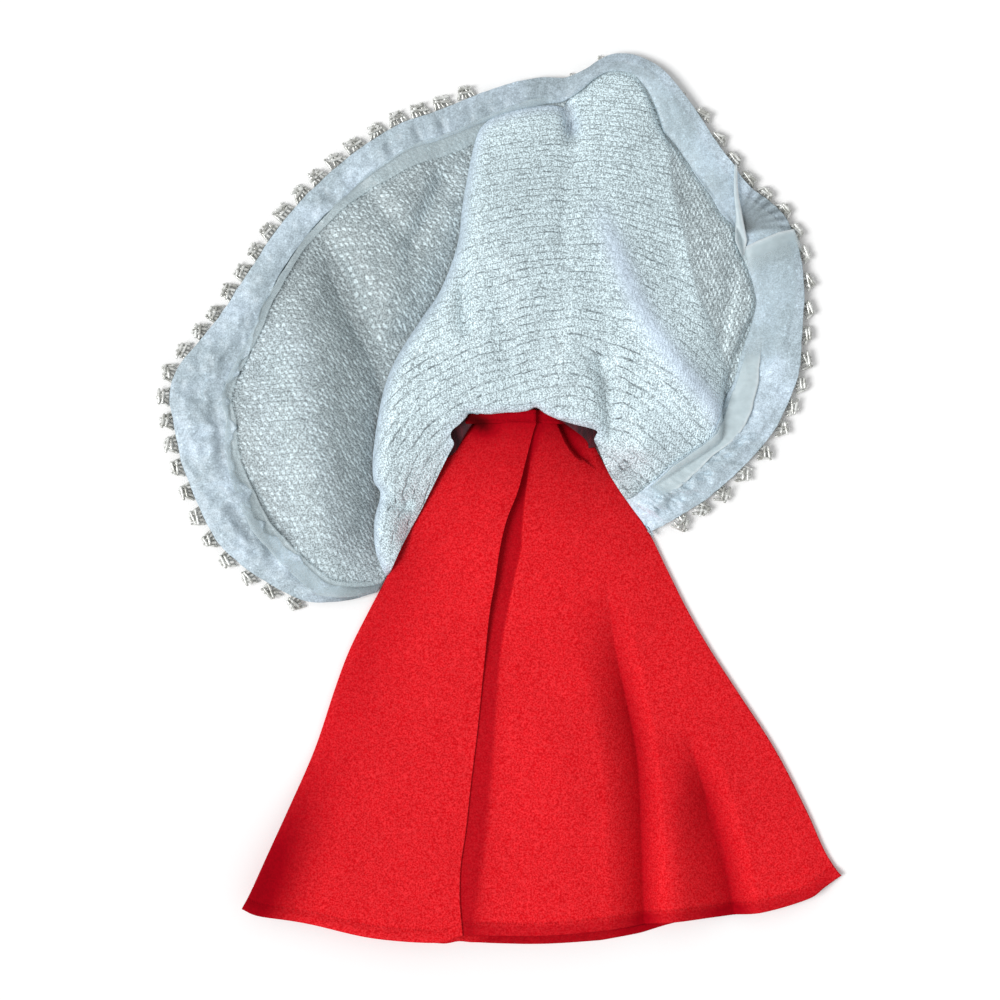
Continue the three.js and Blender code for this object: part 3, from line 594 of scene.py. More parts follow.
# Grain of the finishes, in features per metre
CREPE_GRAIN = 1900.0
CREPE_PEBBLE = 1500.0
CREPE_DRIFT = 22.0
KNIT_PATCH = 160.0
STITCH_GRAIN = 700.0
YARN_SPARKLE = 2100.0
FACING_MOTTLE = 700.0
FACING_DRIFT = 70.0
FACING_SPECK = 760.0
TAPE_RIB = 900.0
RIB_STRETCH = (1.0, 0.2, 0.2)
ORGANZA_MOTTLE = 500.0
BEAD_CELL = 900.0
BRASS_WEAR = 900.0

# Relief of the finishes: depth in metres and strength
CREPE_RELIEF = (0.0002, 0.6)
KNIT_RELIEF = (0.00025, 0.5)
FACING_RELIEF = (0.00015, 0.25)
TAPE_RELIEF = (0.0003, 0.7)
ORGANZA_RELIEF = (0.0002, 0.4)
BRASS_RELIEF = (0.00005, 0.4)

# Where most values of a slow noise, the noise of the painted glints and the red thread's noise lie
SLOW_NOISE = (0.3, 0.7)
GLINT_NOISE = (0.34, 0.66)
THREAD_NOISE = (0.34, 0.68)

# Stitches of the red hem and of the knit
STITCH_LENGTH = 1.7
HEM_STITCH_LINE = (0.45, 0.15)
HEM_STITCH_OPEN = (0.3, 0.4)
HEM_STITCH_SINK = 0.8
STITCH_PITCH = 1.05
DASH_LENGTH = 2.5
DASH_SLIDE = 7.0
DASH_SHIFT = 0.1
DASH_START = (0.02, 0.1)
DASH_END = (0.97, 0.86)
ROW_WANDER = 0.6
ROW_WANDER_STRETCH = 0.12
ROW_HALF = (0.1, 0.04)
ROW_KEY = 57.0
TICK_HALF = (0.1, 0.03)
STITCH_JITTER = 0.9
STITCH_LEAN = 0.6
LOOP_HALF_WIDTH = 0.36
LOOP_HALF_HEIGHT = 0.46
LOOP_EDGE = (1.15, 0.35)

# Steps of random values: from a range to a range, or to 0 and 1
TICK_WEIGHT = (0.2, 0.9, 0.0, 0.6)
PATCH_WEIGHT = (0.36, 0.62, 0.4, 1.0)
DASH_WEIGHT = (0.1, 0.7, 0.4, 1.0)
FLECK_LIGHT = (0.1, 1.0, 0.1, 0.75)
LAVENDER_DRIFT = (0.35, 0.75, 0.0, 0.6)
SPECK_SIZE = (0.4, 0.15)
SPECK_LOTS = (0.66, 0.74)
BEAD_LOTS = (0.1, 0.9)

# Light of the finishes
PEBBLE_LIGHT = (0.92, 1.08)
CREPE_DRIFT_LIGHT = (0.96, 1.04)
HEM_STITCH_LIGHT = 0.9
PAINTED_SHADE_DIMS_FROM = (0.9, 2.0)
DARKEST_PAINTED_SHADE_LIGHT = 0.12
KNIT_LIGHT = 0.97
KNIT_GLINT = 0.42
KNIT_LOOP = 0.1
KNIT_LOT = 0.06
SMOOTH_GLINT = 0.45
SMOOTH_PALE = 0.9
TWILL_LIGHT = 0.72
TWILL_GLINT = 0.32
SPECK_LIGHT = 0.3
FACING_GLINT_LIGHT = 0.16
MOTTLE_LIGHT = (0.86, 1.1)
FACING_DRIFT_LIGHT = (0.9, 1.06)
RIB_LIGHT = (0.6, 1.1)
ORGANZA_LIGHT = (0.95, 1.04)
WEAR_LIGHT = (0.75, 1.1)
ROW_STRENGTH = (0.8, 0.7)
SPARKLE_RISE = 0.6

# Camera, floor and light
CAMERA_HEIGHT = 1.0
SENSOR = 36.0
FIELD = 0.324
PLAN_LEVEL = 0.006
FLOOR_CORNERS = [(-3, -3), (3, -3), (3, 3), (-3, 3)]
FLOOR_LEVEL = -0.0002
WHITE = (1.0, 1.0, 1.0, 1.0)
KEY_STRENGTH = 2.05
KEY_ANGLE = 28 * DEGREE
KEY_TILT = 39 * DEGREE
KEY_BEARING = 196 * DEGREE
FILL_STRENGTH = 0.55


# Helpers on numbers
def mix(a, b, t):
    return a + (b - a) * t


def clamp(x):
    return np.clip(x, 0.0, 1.0)


def smoothstep(start, end, x):
    t = clamp((np.asarray(x, float) - start) / (end - start))
    return t * t * (3 - 2 * t)


def bell(gap, width):
    return np.exp(-((gap / width) ** 2))


def cusp(gap, width):
    return (1 - clamp(gap / width)) ** CREASE_POWER


def unit(v):
    return v / (np.linalg.norm(v, axis=-1, keepdims=True) + TINY)


def by_table(table, x):
    """A value from a table of places and values."""
    return np.interp(x, *np.array(table).T)


def spread(values, count):
    """Values spread evenly over a number of places."""
    return np.interp(np.linspace(0, 1, count), np.linspace(0, 1, len(values)), values)


def grid_of(x, y, z):
    return np.stack(np.broadcast_arrays(x, y, z), -1)


def plan(points):
    """Photograph places as millimetres on the plan."""
    return (np.asarray(points, float)[:, :2] - MIDDLE_PX) * (PIXEL, -PIXEL)


def traced(points_px, steps=LINE_STEPS):
    """A Catmull-Rom line on the plan through photograph places."""
    p = plan(points_px)
    ends = np.vstack([2 * p[0] - p[1], p, 2 * p[-1] - p[-2]])
    t = np.arange(steps)[:, None] / steps
    out = []
    for a, b, c, d in zip(ends, ends[1:], ends[2:], ends[3:]):
        bend = (2 * a - 5 * b + 4 * c - d) * t * t + (3 * b - a - 3 * c + d) * t ** 3
        out.append(0.5 * (2 * b + (c - a) * t + bend))
    return np.vstack([*out, p[-1]])


def left_of_line(line):
    """Unit vectors to the left of a line."""
    way = unit(np.gradient(line, axis=0))
    return np.column_stack([-way[:, 1], way[:, 0]])


def near_line(x, y, line):
    """Distance to a line, the side it lies on, positive at the line's left, and the share along the line."""
    best = np.full(np.shape(x), np.inf)
    side = np.zeros(np.shape(x))
    share = np.zeros(np.shape(x))
    steps = np.hypot(*np.diff(line, axis=0).T)
    starts = np.concatenate([[0], np.cumsum(steps)])
    for (ax, ay), (bx, by), step, start in zip(line[:-1], line[1:], steps, starts):
        dx, dy = (bx - ax) / step, (by - ay) / step
        along = np.clip((x - ax) * dx + (y - ay) * dy, 0, step)
        gap = np.hypot(x - ax - along * dx, y - ay - along * dy)
        nearer = gap < best
        best = np.where(nearer, gap, best)
        side = np.where(nearer, np.sign(dx * (y - ay) - dy * (x - ax)), side)
        share = np.where(nearer, (start + along) / starts[-1], share)
    return best, side, share


def fold(x, y, line_px, height, left_width, right_width, profile=bell, fade_in=FOLD_FADE_IN):
    """A ridge or valley along a line, with its own width on either side, fading at its ends."""
    gap, side, share = near_line(x, y, traced(line_px, FOLD_STEPS))
    width = np.where(side > 0, left_width, right_width)
    fade = smoothstep(0, fade_in, share) * smoothstep(*FADE_OUT, share)
    return height * profile(gap, width) * fade


def folds(x, y, strokes, *form):
    return sum(fold(x, y, *stroke, *form) for stroke in strokes)


class Levels:
    """A thin-plate surface through measured heights."""

    def __init__(self, levels):
        table = np.asarray(levels, float)
        self.places = plan(table)
        flat = np.column_stack([np.ones(len(table)), self.places])
        bends = self.bend(self.places[:, None] - self.places)
        square = np.block([[bends, flat], [flat.T, np.zeros((3, 3))]])
        self.weights = np.linalg.solve(square, np.concatenate([table[:, 2], np.zeros(3)]))

    @staticmethod
    def bend(gap):
        r2 = (gap ** 2).sum(-1) + TINY
        return 0.5 * r2 * np.log(r2)

    def __call__(self, x, y):
        spots = np.stack([x, y], -1)
        out = self.weights[-3] + spots @ self.weights[-2:]
        for place, weight in zip(self.places, self.weights):
            out = out + weight * self.bend(spots - place)
        return out


def ripple(x, y, relief):
    """Seeded relief with a height, a size of its features, octaves and a layer."""
    height, size, octaves, layer = relief
    x, y = np.broadcast_arrays(x, y)
    spots = zip(np.ravel(x) / size, np.ravel(y) / size)
    values = [noise.fractal(Vector((a, b, SEED + layer)), 1.0, 2.0, octaves) for a, b in spots]
    return height * np.reshape(values, np.shape(x))


# Place of the plan in the frame, taken from the waistband
band_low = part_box("waistband")[0]
SHIFT_X = band_low.x / MILLIMETRE - (WAIST_X - WAIST_WIDTH / 2 - BAND_WALL / 2)
SHIFT_Y = band_low.y / MILLIMETRE - WAIST_Y


def in_frame(points):
    """Millimetres on the plan as metres in the frame."""
    return (np.asarray(points, float) + (SHIFT_X, SHIFT_Y, 0.0)) * MILLIMETRE


# Helpers on meshes
def add_object(name, data):
    obj = bpy.data.objects.new(name, data)
    bpy.context.scene.collection.objects.link(obj)
    return obj


def make_mesh(name, points, faces, material, painted):
    mesh = bpy.data.meshes.new(name)
    mesh.from_pydata(np.asarray(points).tolist(), [], faces)
    for key, values in painted.items():
        layer = mesh.attributes.new(key, "FLOAT", "POINT")
        layer.data.foreach_set("value", np.asarray(values, np.float32))
    mesh.polygons.foreach_set("use_smooth", [True] * len(mesh.polygons))
    mesh.materials.append(material)
    mesh.update()
    return add_object(name, mesh)


def thin_sheet(top, thick):
    """Points and faces of a closed thin sheet below a grid; its second direction turns left to its first."""
    normal = unit(np.cross(np.gradient(top, axis=1), np.gradient(top, axis=0)))
    points = np.concatenate([top.reshape(-1, 3), (top - normal * thick).reshape(-1, 3)])
    under = top[..., 0].size
    upper = np.arange(under).reshape(top.shape[:2])
    quads = np.stack([upper[:-1, :-1], upper[1:, :-1], upper[1:, 1:], upper[:-1, 1:]], -1).reshape(-1, 4)
    rim = np.concatenate([upper[:, 0], upper[-1, 1:], upper[-2::-1, -1], upper[0, -2:0:-1]])
    onward = np.roll(rim, -1)
    walls = np.column_stack([rim, onward, onward + under, rim + under])
    return points, np.concatenate([quads[:, ::-1], quads + under, walls])


def cloth(name, sheets, thick, material):
    """One piece from thin sheets, each a grid of top points with its painted values."""
    points = np.zeros((0, 3))
    faces = []
    painted = {key: [] for key in sheets[0][1]}
    for top, values in sheets:
        sheet_points, sheet_faces = thin_sheet(top, thick)
        faces.extend((sheet_faces + len(points)).tolist())
        points = np.concatenate([points, sheet_points])
        for key in painted:
            painted[key].extend(np.tile(np.ravel(values[key] + 0 * top[..., 0]), 2))
    return make_mesh(name, in_frame(points), faces, material, painted)


class Parts:
    """Collects many small round shapes into one mesh."""

    def __init__(self):
        self.points = []
        self.faces = []

    def add(self, centres, way, radii, sides):
        """Rings round a row of centres, closed at both ends; way runs along the row."""
        first = len(self.points)
        turns = 2 * math.pi * np.arange(sides)[:, None] / sides
        across = unit(np.cross(way, UP)) + 0 * centres
        third = np.cross(way, across)
        for centre, a, b, radius in zip(centres, across, third, radii):
            self.points.extend(centre + radius * (np.cos(turns) * a + np.sin(turns) * b))
        last = len(self.points) - sides
        for ring in range(first, last, sides):
            for i in range(sides):
                a = ring + i
                b = ring + (i + 1) % sides
                self.faces.append((a, b, b + sides, a + sides))
        self.faces.append(tuple(range(first, first + sides))[::-1])
        self.faces.append(tuple(range(last, last + sides)))

    def bead(self, start, end, profile, radius):
        shares, sizes = np.array(profile).T
        centres = start + shares[:, None] * (end - start)
        self.add(centres, unit(end - start), radius * sizes, BEAD_SIDES)


# Helpers on materials
def linear(colour):
    """An 8-bit screen colour as linear light."""
    shares = [c / 255 for c in colour]
    return [s / 12.92 if s <= 0.04045 else ((s + 0.055) / 1.055) ** 2.4 for s in shares]


def operation(name, swapped=False):
    """A sum on terms of a material, as a method of a term."""
    def result(self, other=0.0):
        pair = (other, self) if swapped else (self, other)
        return self.paint.node("Math", 0, dict(enumerate(pair)), operation=name)
    return result


class Term:
    """An output of a material's node, on which sums can be written out."""

    def __init__(self, paint, socket):
        self.paint = paint
        self.socket = socket

    __add__ = __radd__ = operation("ADD")
    __mul__ = __rmul__ = operation("MULTIPLY")
    __sub__ = operation("SUBTRACT")
    __rsub__ = operation("SUBTRACT", swapped=True)
    __truediv__ = operation("DIVIDE")
    __mod__ = operation("MODULO")
    __pow__ = operation("POWER")
    __abs__ = operation("ABSOLUTE")
    floor = operation("FLOOR")
    part = operation("FRACT")
    most = operation("MAXIMUM")

    def ramp(self, low, high, to_low=0.0, to_high=1.0):
        """A smooth step from one range to another."""
        keys = ("Value", "From Min", "From Max", "To Min", "To Max")
        inputs = dict(zip(keys, (self, low, high, to_low, to_high)))
        return self.paint.node("MapRange", "Result", inputs, interpolation_type="SMOOTHSTEP")


class Paint:
    """A node material that is built from short steps."""

    # Places of the colours among the inputs and outputs of a mix node
    MIX_COLOURS = (6, 7)
    MIX_RESULT = 2

    def __init__(self, name, **settings):
        self.material = bpy.data.materials.new(name)
        self.material.use_nodes = True
        self.tree = self.material.node_tree
        self.shader = self.tree.nodes["Principled BSDF"]
        self.put(self.shader, {key.replace("_", " "): value for key, value in settings.items()})

    def put(self, node, inputs):
        for key, value in inputs.items():
            if isinstance(value, Term):
                self.tree.links.new(value.socket, node.inputs[key])
            else:
                node.inputs[key].default_value = value

    def node(self, kind, output, inputs, **settings):
        """A new node with its settings and inputs, as one of its outputs."""
        node = self.tree.nodes.new("ShaderNode" + kind)
        for key, value in settings.items():
            setattr(node, key, value)
        self.put(node, inputs)
        return Term(self, node.outputs[output])

    def attributes(self, *names):
        return [self.node("Attribute", "Fac", {}, attribute_name=name) for name in names]

    def place(self, stretch=(1.0, 1.0, 1.0)):
        """Object coordinates, stretched."""
        source = self.node("TexCoord", "Object", {})
        return self.node("Mapping", "Vector", {"Vector": source, "Scale": stretch})

    def noise(self, scale, detail=2.0, roughness=0.5, vector=None):
        inputs = {"Vector": vector or self.place(), "Scale": scale, "Detail": detail, "Roughness": roughness}
        return self.node("TexNoise", "Fac", inputs)

    def cells(self, scale):
        """Random value of each cell, and distance to its centre."""
        colour = self.node("TexVoronoi", "Color", {"Vector": self.place(), "Scale": scale})
        distance = Term(self, colour.socket.node.outputs["Distance"])
        return self.node("SeparateColor", 0, {0: colour}), distance

    def chance(self, key):
        """A random value for each key."""
        return self.node("TexWhiteNoise", "Value", {"W": key}, noise_dimensions="1D")

    def blend(self, share, *colours):
        """Between two colours, each 8-bit or a term."""
        inputs = {0: share}
        for key, colour in zip(self.MIX_COLOURS, colours):
            inputs[key] = colour if isinstance(colour, Term) else (*linear(colour), 1.0)
        return self.node("Mix", self.MIX_RESULT, inputs, data_type="RGBA")

    def colour(self, colour, light):
        """Paints a colour, 8-bit or a term, times a light."""
        start = colour if isinstance(colour, Term) else linear(colour)
        lit = self.node("VectorMath", 0, {0: start, "Scale": light}, operation="SCALE")
        self.put(self.shader, {"Base Color": lit})

    def bump(self, height, depth, strength):
        inputs = {"Strength": strength, "Distance": depth, "Height": height}
        self.put(self.shader, {"Normal": self.node("Bump", 0, inputs)})


# Red crepe: fine pebbled grain, slow colour drift, a line of hem stitches, and painted shade that turns the
# red towards its shaded colour and, at the darkest, dims its light
def red_crepe():
    paint = Paint("red_crepe", Roughness=0.85, Specular_IOR_Level=0.04)
    hem, along, deep = paint.attributes("hem", "along", "deep")
    grain = paint.noise(CREPE_GRAIN, roughness=0.6)
    pebble, _ = paint.cells(CREPE_PEBBLE)
    drift = paint.noise(CREPE_DRIFT)
    stitch = abs(hem - HEM_TURN).ramp(*HEM_STITCH_LINE)
    stitch = stitch * (along / STITCH_LENGTH).part().ramp(*HEM_STITCH_OPEN)
    light = pebble.ramp(0, 1, *PEBBLE_LIGHT) * drift.ramp(*SLOW_NOISE, *CREPE_DRIFT_LIGHT)
    light = light * stitch.ramp(0, 1, 1.0, HEM_STITCH_LIGHT) * deep.ramp(*PAINTED_SHADE_DIMS_FROM, 1.0, DARKEST_PAINTED_SHADE_LIGHT)
    thread = paint.blend(grain.ramp(*THREAD_NOISE), RED, RED_BRIGHT)
    paint.colour(paint.blend(deep, thread, RED_IN_PAINTED_SHADE), light)
    paint.bump(grain - stitch * HEM_STITCH_SINK, *CREPE_RELIEF)
    return paint.material


# Silver knit: dashed dark rows, painted glints of the metal yarn, twill flecks where the wrong side shows,
# and painted shade and light from the shade value
def silver_knit():
    paint = Paint("silver_knit", Roughness=0.42, Specular_IOR_Level=0.4)
    row, wale, pale, twill, shade = paint.attributes("row", "wale", "pale", "twill", "shade")
    right_side = 1.0 - twill
    smooth = pale * right_side

    # Wavy rows, cut into dashes that are shifted and weighted one by one
    place = paint.node("CombineXYZ", 0, {0: wale * ROW_WANDER_STRETCH, 1: row})
    phase = row + paint.noise(1.0, vector=place) * ROW_WANDER
    number = phase.floor()
    spot = wale / DASH_LENGTH + paint.chance(number) * DASH_SLIDE
    dash = spot.part()
    dash_lot = paint.chance(spot.floor() + number * ROW_KEY)
    shift = dash_lot.ramp(0, 1, -DASH_SHIFT, DASH_SHIFT)
    line = abs(phase.part() - 0.5 - shift).ramp(*ROW_HALF) * (dash.ramp(*DASH_START) * dash.ramp(*DASH_END))
    tick = (0.5 - abs(dash - 0.5)).ramp(*TICK_HALF) * dash_lot.ramp(*TICK_WEIGHT)
    patch = paint.noise(KNIT_PATCH, 3.0).ramp(*PATCH_WEIGHT)
    rows = line.most(tick) * (patch * dash_lot.ramp(*DASH_WEIGHT)) * (1.0 - pale)
    rows = rows * (right_side + twill * (number % 2.0))

    # Stitch loops between the rows, leaning on the wrong side
    loop_phase = phase + 0.5
    loop_number = loop_phase.floor()
    loop_height = loop_phase.part() - 0.5
    stitch = wale / STITCH_PITCH + (loop_number % 2.0) * 0.5 + paint.noise(STITCH_GRAIN) * STITCH_JITTER
    side = stitch.part() - 0.5 + loop_height * twill.ramp(0, 1, 0.0, STITCH_LEAN)
    oval = (side / LOOP_HALF_WIDTH) ** 2.0 + (loop_height / LOOP_HALF_HEIGHT) ** 2.0
    loop = oval.ramp(*LOOP_EDGE)
    lot = paint.chance(stitch.floor() + loop_number * ROW_KEY)

    # Painted glints of the metal yarn; the shade value then lowers the light as painted shade and, where
    # negative, raises it as painted light
    sparkle = paint.noise(YARN_SPARKLE, 1.0, 0.6)
    knit_glint = sparkle.ramp(*GLINT_NOISE, -1.0, 1.0) * smooth.ramp(0, 1, 1.0, SMOOTH_GLINT)
    knit_light = KNIT_LIGHT + knit_glint * KNIT_GLINT + (loop - 0.5) * KNIT_LOOP
    knit_light = knit_light + lot.ramp(0, 1, -KNIT_LOT, KNIT_LOT)
    twill_light = TWILL_LIGHT + loop * lot.ramp(*FLECK_LIGHT) + knit_glint * TWILL_GLINT
    light = (knit_light * right_side + twill_light * twill) * (1.0 - shade)
    ground = paint.blend(smooth * SMOOTH_PALE, paint.blend(twill, SILVER, WING_GREY), LAVENDER)
    paint.colour(paint.blend(rows * twill.ramp(0, 1, *ROW_STRENGTH), ground, SILVER_DARK), light)
    paint.bump(sparkle * SPARKLE_RISE + loop - rows, *KNIT_RELIEF)
    return paint.material


# Pale facing: smooth cloth with painted glints of glitter and yarn, and painted shade from the shade value
def pale_facing():
    paint = Paint("pale_facing", Roughness=0.45, Specular_IOR_Level=0.45)
    shade, = paint.attributes("shade")
    mottle = paint.noise(FACING_MOTTLE, 3.0, 0.6)
    drift = paint.noise(FACING_DRIFT, 3.0)
    chance, distance = paint.cells(FACING_SPECK)
    speck = distance.ramp(*SPECK_SIZE) * chance.ramp(*SPECK_LOTS)
    facing_glint = paint.noise(YARN_SPARKLE, 1.0, 0.6).ramp(*GLINT_NOISE, -FACING_GLINT_LIGHT, FACING_GLINT_LIGHT)
    light = mottle.ramp(*SLOW_NOISE, *MOTTLE_LIGHT) * drift.ramp(*SLOW_NOISE, *FACING_DRIFT_LIGHT)
    light = (light + speck * SPECK_LIGHT + facing_glint) * (1.0 - shade)
    paint.colour(paint.blend(drift.ramp(*LAVENDER_DRIFT), FACING_PALE, LAVENDER), light)
    paint.bump(mottle, *FACING_RELIEF)
    return paint.material


# Seam tape in painted shade: near black, with red ribs that are a painted bounce of the red skirt
def tape_in_painted_shade():
    paint = Paint("tape_in_painted_shade", Roughness=0.8)
    ribs = paint.noise(TAPE_RIB, vector=paint.place(RIB_STRETCH))
    paint.colour(paint.blend(ribs, TAPE_PAINTED_SHADE, TAPE_RED_BOUNCE), ribs.ramp(*SLOW_NOISE, *RIB_LIGHT))
    paint.bump(ribs, *TAPE_RELIEF)
    return paint.material


# Sheer ribbon with denser edges
def sheer_organza():
    paint = Paint("organza", Roughness=0.35, Specular_IOR_Level=0.5)
    edge, dense = paint.attributes("edge", "dense")
    mottle = paint.noise(ORGANZA_MOTTLE)
    paint.colour(paint.blend(edge, ORGANZA_PALE, ORGANZA_EDGE), mottle.ramp(*SLOW_NOISE, *ORGANZA_LIGHT))
    paint.put(paint.shader, {"Alpha": dense})
    paint.bump(mottle, *ORGANZA_RELIEF)
    return paint.material


# Silver-lined beads; random darker and lighter cells are painted reflections of the glass
def bead_silver():
    paint = Paint("silver_beads", Roughness=0.22, Metallic=0.3, Coat_Weight=0.5)
    chance, _ = paint.cells(BEAD_CELL)
    paint.put(paint.shader, {"Base Color": paint.blend(chance.ramp(*BEAD_LOTS), BEAD_DARK, BEAD_SILVER)})
    return paint.material


# Worn brass
def worn_brass():
    paint = Paint("brass_closure", Roughness=0.3, Metallic=1.0)
    wear = paint.noise(BRASS_WEAR, 3.0)
    paint.colour(BRASS, wear.ramp(*SLOW_NOISE, *WEAR_LIGHT))
    paint.bump(wear, *BRASS_RELIEF)
    return paint.material


crepe = red_crepe()
knit = silver_knit()
facing_paint = pale_facing()
tape_shade_paint = tape_in_painted_shade()
organza_paint = sheer_organza()
bead_paint = bead_silver()
brass_paint = worn_brass()


# Attaches a piece to its body and hides the solids it stands for
def stands(piece, body, slot, *nodes):
    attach(piece, body)
    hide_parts(*nodes)


# Camera straight above the photograph's middle
camera = add_object("camera", bpy.data.cameras.new("camera"))
camera.location = (SHIFT_X * MILLIMETRE, SHIFT_Y * MILLIMETRE, CAMERA_HEIGHT)
camera.data.sensor_width = SENSOR
camera.data.lens = SENSOR * (CAMERA_HEIGHT - PLAN_LEVEL) / FIELD
bpy.context.scene.camera = camera

# Wrap skirt: its outline from waist to hem, and the height of its upper layer
left_side = traced(LEFT_SIDE_PX)
right_side = traced(RIGHT_SIDE_PX)
wrap_edge = traced(WRAP_EDGE_PX)
skirt_hem = traced(HEM_PX)
strip_edge = traced(STRIP_EDGE_PX)
APEX_HEIGHT = WAIST_WIDTH / (math.tan(FLARE_LEFT) + math.tan(FLARE_RIGHT))
APEX = np.array([WAIST_X - WAIST_WIDTH / 2 + APEX_HEIGHT * math.tan(FLARE_LEFT), WAIST_Y + APEX_HEIGHT])


def reach_at(bearing, bearings, reaches):
    """Distance to a line's points at each bearing."""
    order = np.argsort(bearings)
    return np.interp(bearing, bearings[order], reaches[order])


def from_apex(line):
    """Bearings of a line's points from straight down, and their distances."""
    dx, dy = (line - APEX).T
    return np.arctan2(dx, -dy), np.hypot(dx, dy)


def bearing_at(line, radius):
    """Bearing of an edge at each distance from the apex."""
    bearings, reaches = from_apex(line)
    return np.interp(radius, reaches, bearings)


left_of_skirt = partial(bearing_at, left_side)
right_of_skirt = partial(bearing_at, right_side)
wrap_of = partial(bearing_at, wrap_edge)


def under_wrap(radius):
    return wrap_of(radius) - UNDERLAP / radius


def top_radius(bearing):
    return (APEX_HEIGHT + SEAM_GAP) / np.cos(bearing)


def hem_radius(bearing):
    return reach_at(bearing, *from_apex(skirt_hem))


def across(bearing, radius):
    """From -1 at the skirt's left side to 1 at its right side."""
    left = left_of_skirt(radius)
    right = right_of_skirt(radius)
    return (2 * bearing - left - right) / (right - left)


def near_waist(bearing, radius, reach):
    """1 at the waist, fading below it."""
    return np.exp(-(radius - top_radius(bearing)) / reach)


def turned_hem(bearing, radius):
    """1 where the hem's cloth lies double."""
    return smoothstep(HEM_TURN, HEM_TURN / 2, hem_radius(bearing) - radius)


def corner_share(x, y):
    """1 on the turned-up left corner, fading to its right and upwards."""
    gap, _, share = near_line(x, y, plan(CORNER_LINE_PX))
    return bell(gap, CORNER_WIDTH) * smoothstep(*CORNER_FADE, share)


def strip_share(x, y):
    """1 in the sunken strip beside the wrap's free edge."""
    gap, side, share = near_line(x, y, strip_edge)
    wall = mix(STRIP_WALL, STRIP_WALL_HEM, smoothstep(*STRIP_WIDENS, share))
    return smoothstep(0, 1, 0.5 - gap * side / wall) * smoothstep(0, STRIP_START, share)


def valleys(x, y):
    return folds(x, y, RED_CREASES, cusp, CREASE_FADE_IN)


def red_painted_shadow(x, y):
    return clamp(folds(x, y, RED_PAINTED_SHADOWS))


def upper_top(bearing, radius, x, y):
    """Top of the right panel, above the table."""
    top = top_radius(bearing)
    along = clamp((radius - top) / (hem_radius(bearing) - top))
    open_share = 1 - np.abs(np.clip(across(bearing, radius), -1, 1)) ** DOME_POWER
    hem = turned_hem(bearing, radius)
    dome = mix(DOME_AT_WAIST, DOME_AT_HEM, along) * open_share
    relief = (folds(x, y, RED_FOLDS) + valleys(x, y)) * clamp(SIDE_RELIEF_GAIN * open_share + SIDE_RELIEF)
    relief = relief + CORNER_HEIGHT * corner_share(x, y) + ripple(x, y, RED_RIPPLE) * open_share
    return 2 * CLOTH + LAYER_GAP + np.maximum(HEM_BULGE * hem + dome + relief, HEM_LEAST_BULGE * hem)


def front_level(bearing, radius, x, y, _):
    corner = CORNER_HEIGHT * corner_share(x, y) * smoothstep(*CORNER_SIDE, np.abs(across(bearing, radius)))
    return CLOTH + FRONT_HEM_BULGE * turned_hem(bearing, radius) + corner


def right_level(bearing, radius, x, y, share):
    lift = WAIST_LIFT_RIGHT * near_waist(bearing, radius, WAIST_LIFT_REACH)
    depth = STRIP_DEPTH * smoothstep(*STRIP_DEPTH_TO, share)
    return upper_top(bearing, radius, x, y) + lift - depth * strip_share(x, y)


def left_level(bearing, radius, x, y, share):
    from_edge = (wrap_of(radius) - bearing) * radius
    layer_gap = LAYER_GAP * mix(FLAP_THIN, 1.0, smoothstep(0, FLAP_THIN_WIDTH, from_edge))
    rise = (CLOTH + layer_gap) * smoothstep(-1, LAP_START, across(bearing, radius))
    raised = smoothstep(*FLAP_LIFT_FROM, share) * smoothstep(*FLAP_LIFT_TO, share)
    lift = FLAP_LIFT * raised * bell(from_edge, FLAP_LIFT_WIDTH)
    lift = lift + WAIST_LIFT_LEFT * near_waist(bearing, radius, WAIST_LIFT_REACH)
    return upper_top(bearing, radius, x, y) + rise + lift


def front_peek(bearing):
    """How far the front layer shows below the others."""
    column = MIDDLE_PX + (APEX[0] + hem_radius(bearing) * np.sin(bearing)) / PIXEL
    return by_table(FRONT_PEEK, column)


def no_peek(bearing):
    return 0 * bearing


def skirt_panel(grid, left_of, right_of, level_of, overlap=WAIST_OVERLAP, peek=no_peek):
    """Grid of a panel between two edges, its painted values, and its distances from the upper layer's hem."""
    columns, rows = grid
    u = np.linspace(0, 1, columns)[:, None]
    v = np.linspace(0, 1, rows)[None, :]

    def radius_at(bearing):
        return mix(top_radius(bearing) - overlap, hem_radius(bearing) + peek(bearing), v)

    bearing = np.full(grid, (FLARE_RIGHT - FLARE_LEFT) / 2)
    for _ in range(SETTLE_ROUNDS):
        radius = radius_at(bearing)
        bearing = mix(left_of(radius), right_of(radius), u)
    radius = radius_at(bearing)
    x = APEX[0] + radius * np.sin(bearing)
    y = APEX[1] - radius * np.cos(bearing)
    to_hem = hem_radius(bearing) - radius
    column = MIDDLE_PX + x / PIXEL
    # Painted shade along the hem's right part, near the waist, on the turned-up corner and in the valleys,
    # with painted shadows added
    hem_deep = smoothstep(*HEM_EDGE_SHADE_FROM_PX, column) * smoothstep(*HEM_EDGE_SHADE_TO_PX, column)
    hem_deep = HEM_EDGE_PAINTED_SHADE * hem_deep * smoothstep(HEM_EDGE_SHADE_WIDTH, HEM_EDGE_SHADE_WIDTH / 3, to_hem)
    deep = WAIST_PAINTED_SHADE * near_waist(bearing, radius, WAIST_PAINTED_SHADE_REACH) + CORNER_PAINTED_SHADE * corner_share(x, y)
    deep = deep + VALLEY_PAINTED_SHADE * clamp(valleys(x, y) / RED_CREASES[0][1]) + hem_deep
    painted = {
        "hem": to_hem + peek(bearing),
        "along": bearing * radius,
        "deep": clamp(deep) + red_painted_shadow(x, y),
    }
    return grid_of(x, y, level_of(bearing, radius, x, y, v)), painted, to_hem


# Panels of the wrap skirt
front_top, front_detail, to_upper_hem = skirt_panel(
    FRONT_GRID, left_of_skirt, right_of_skirt, front_level, 0.0, front_peek)
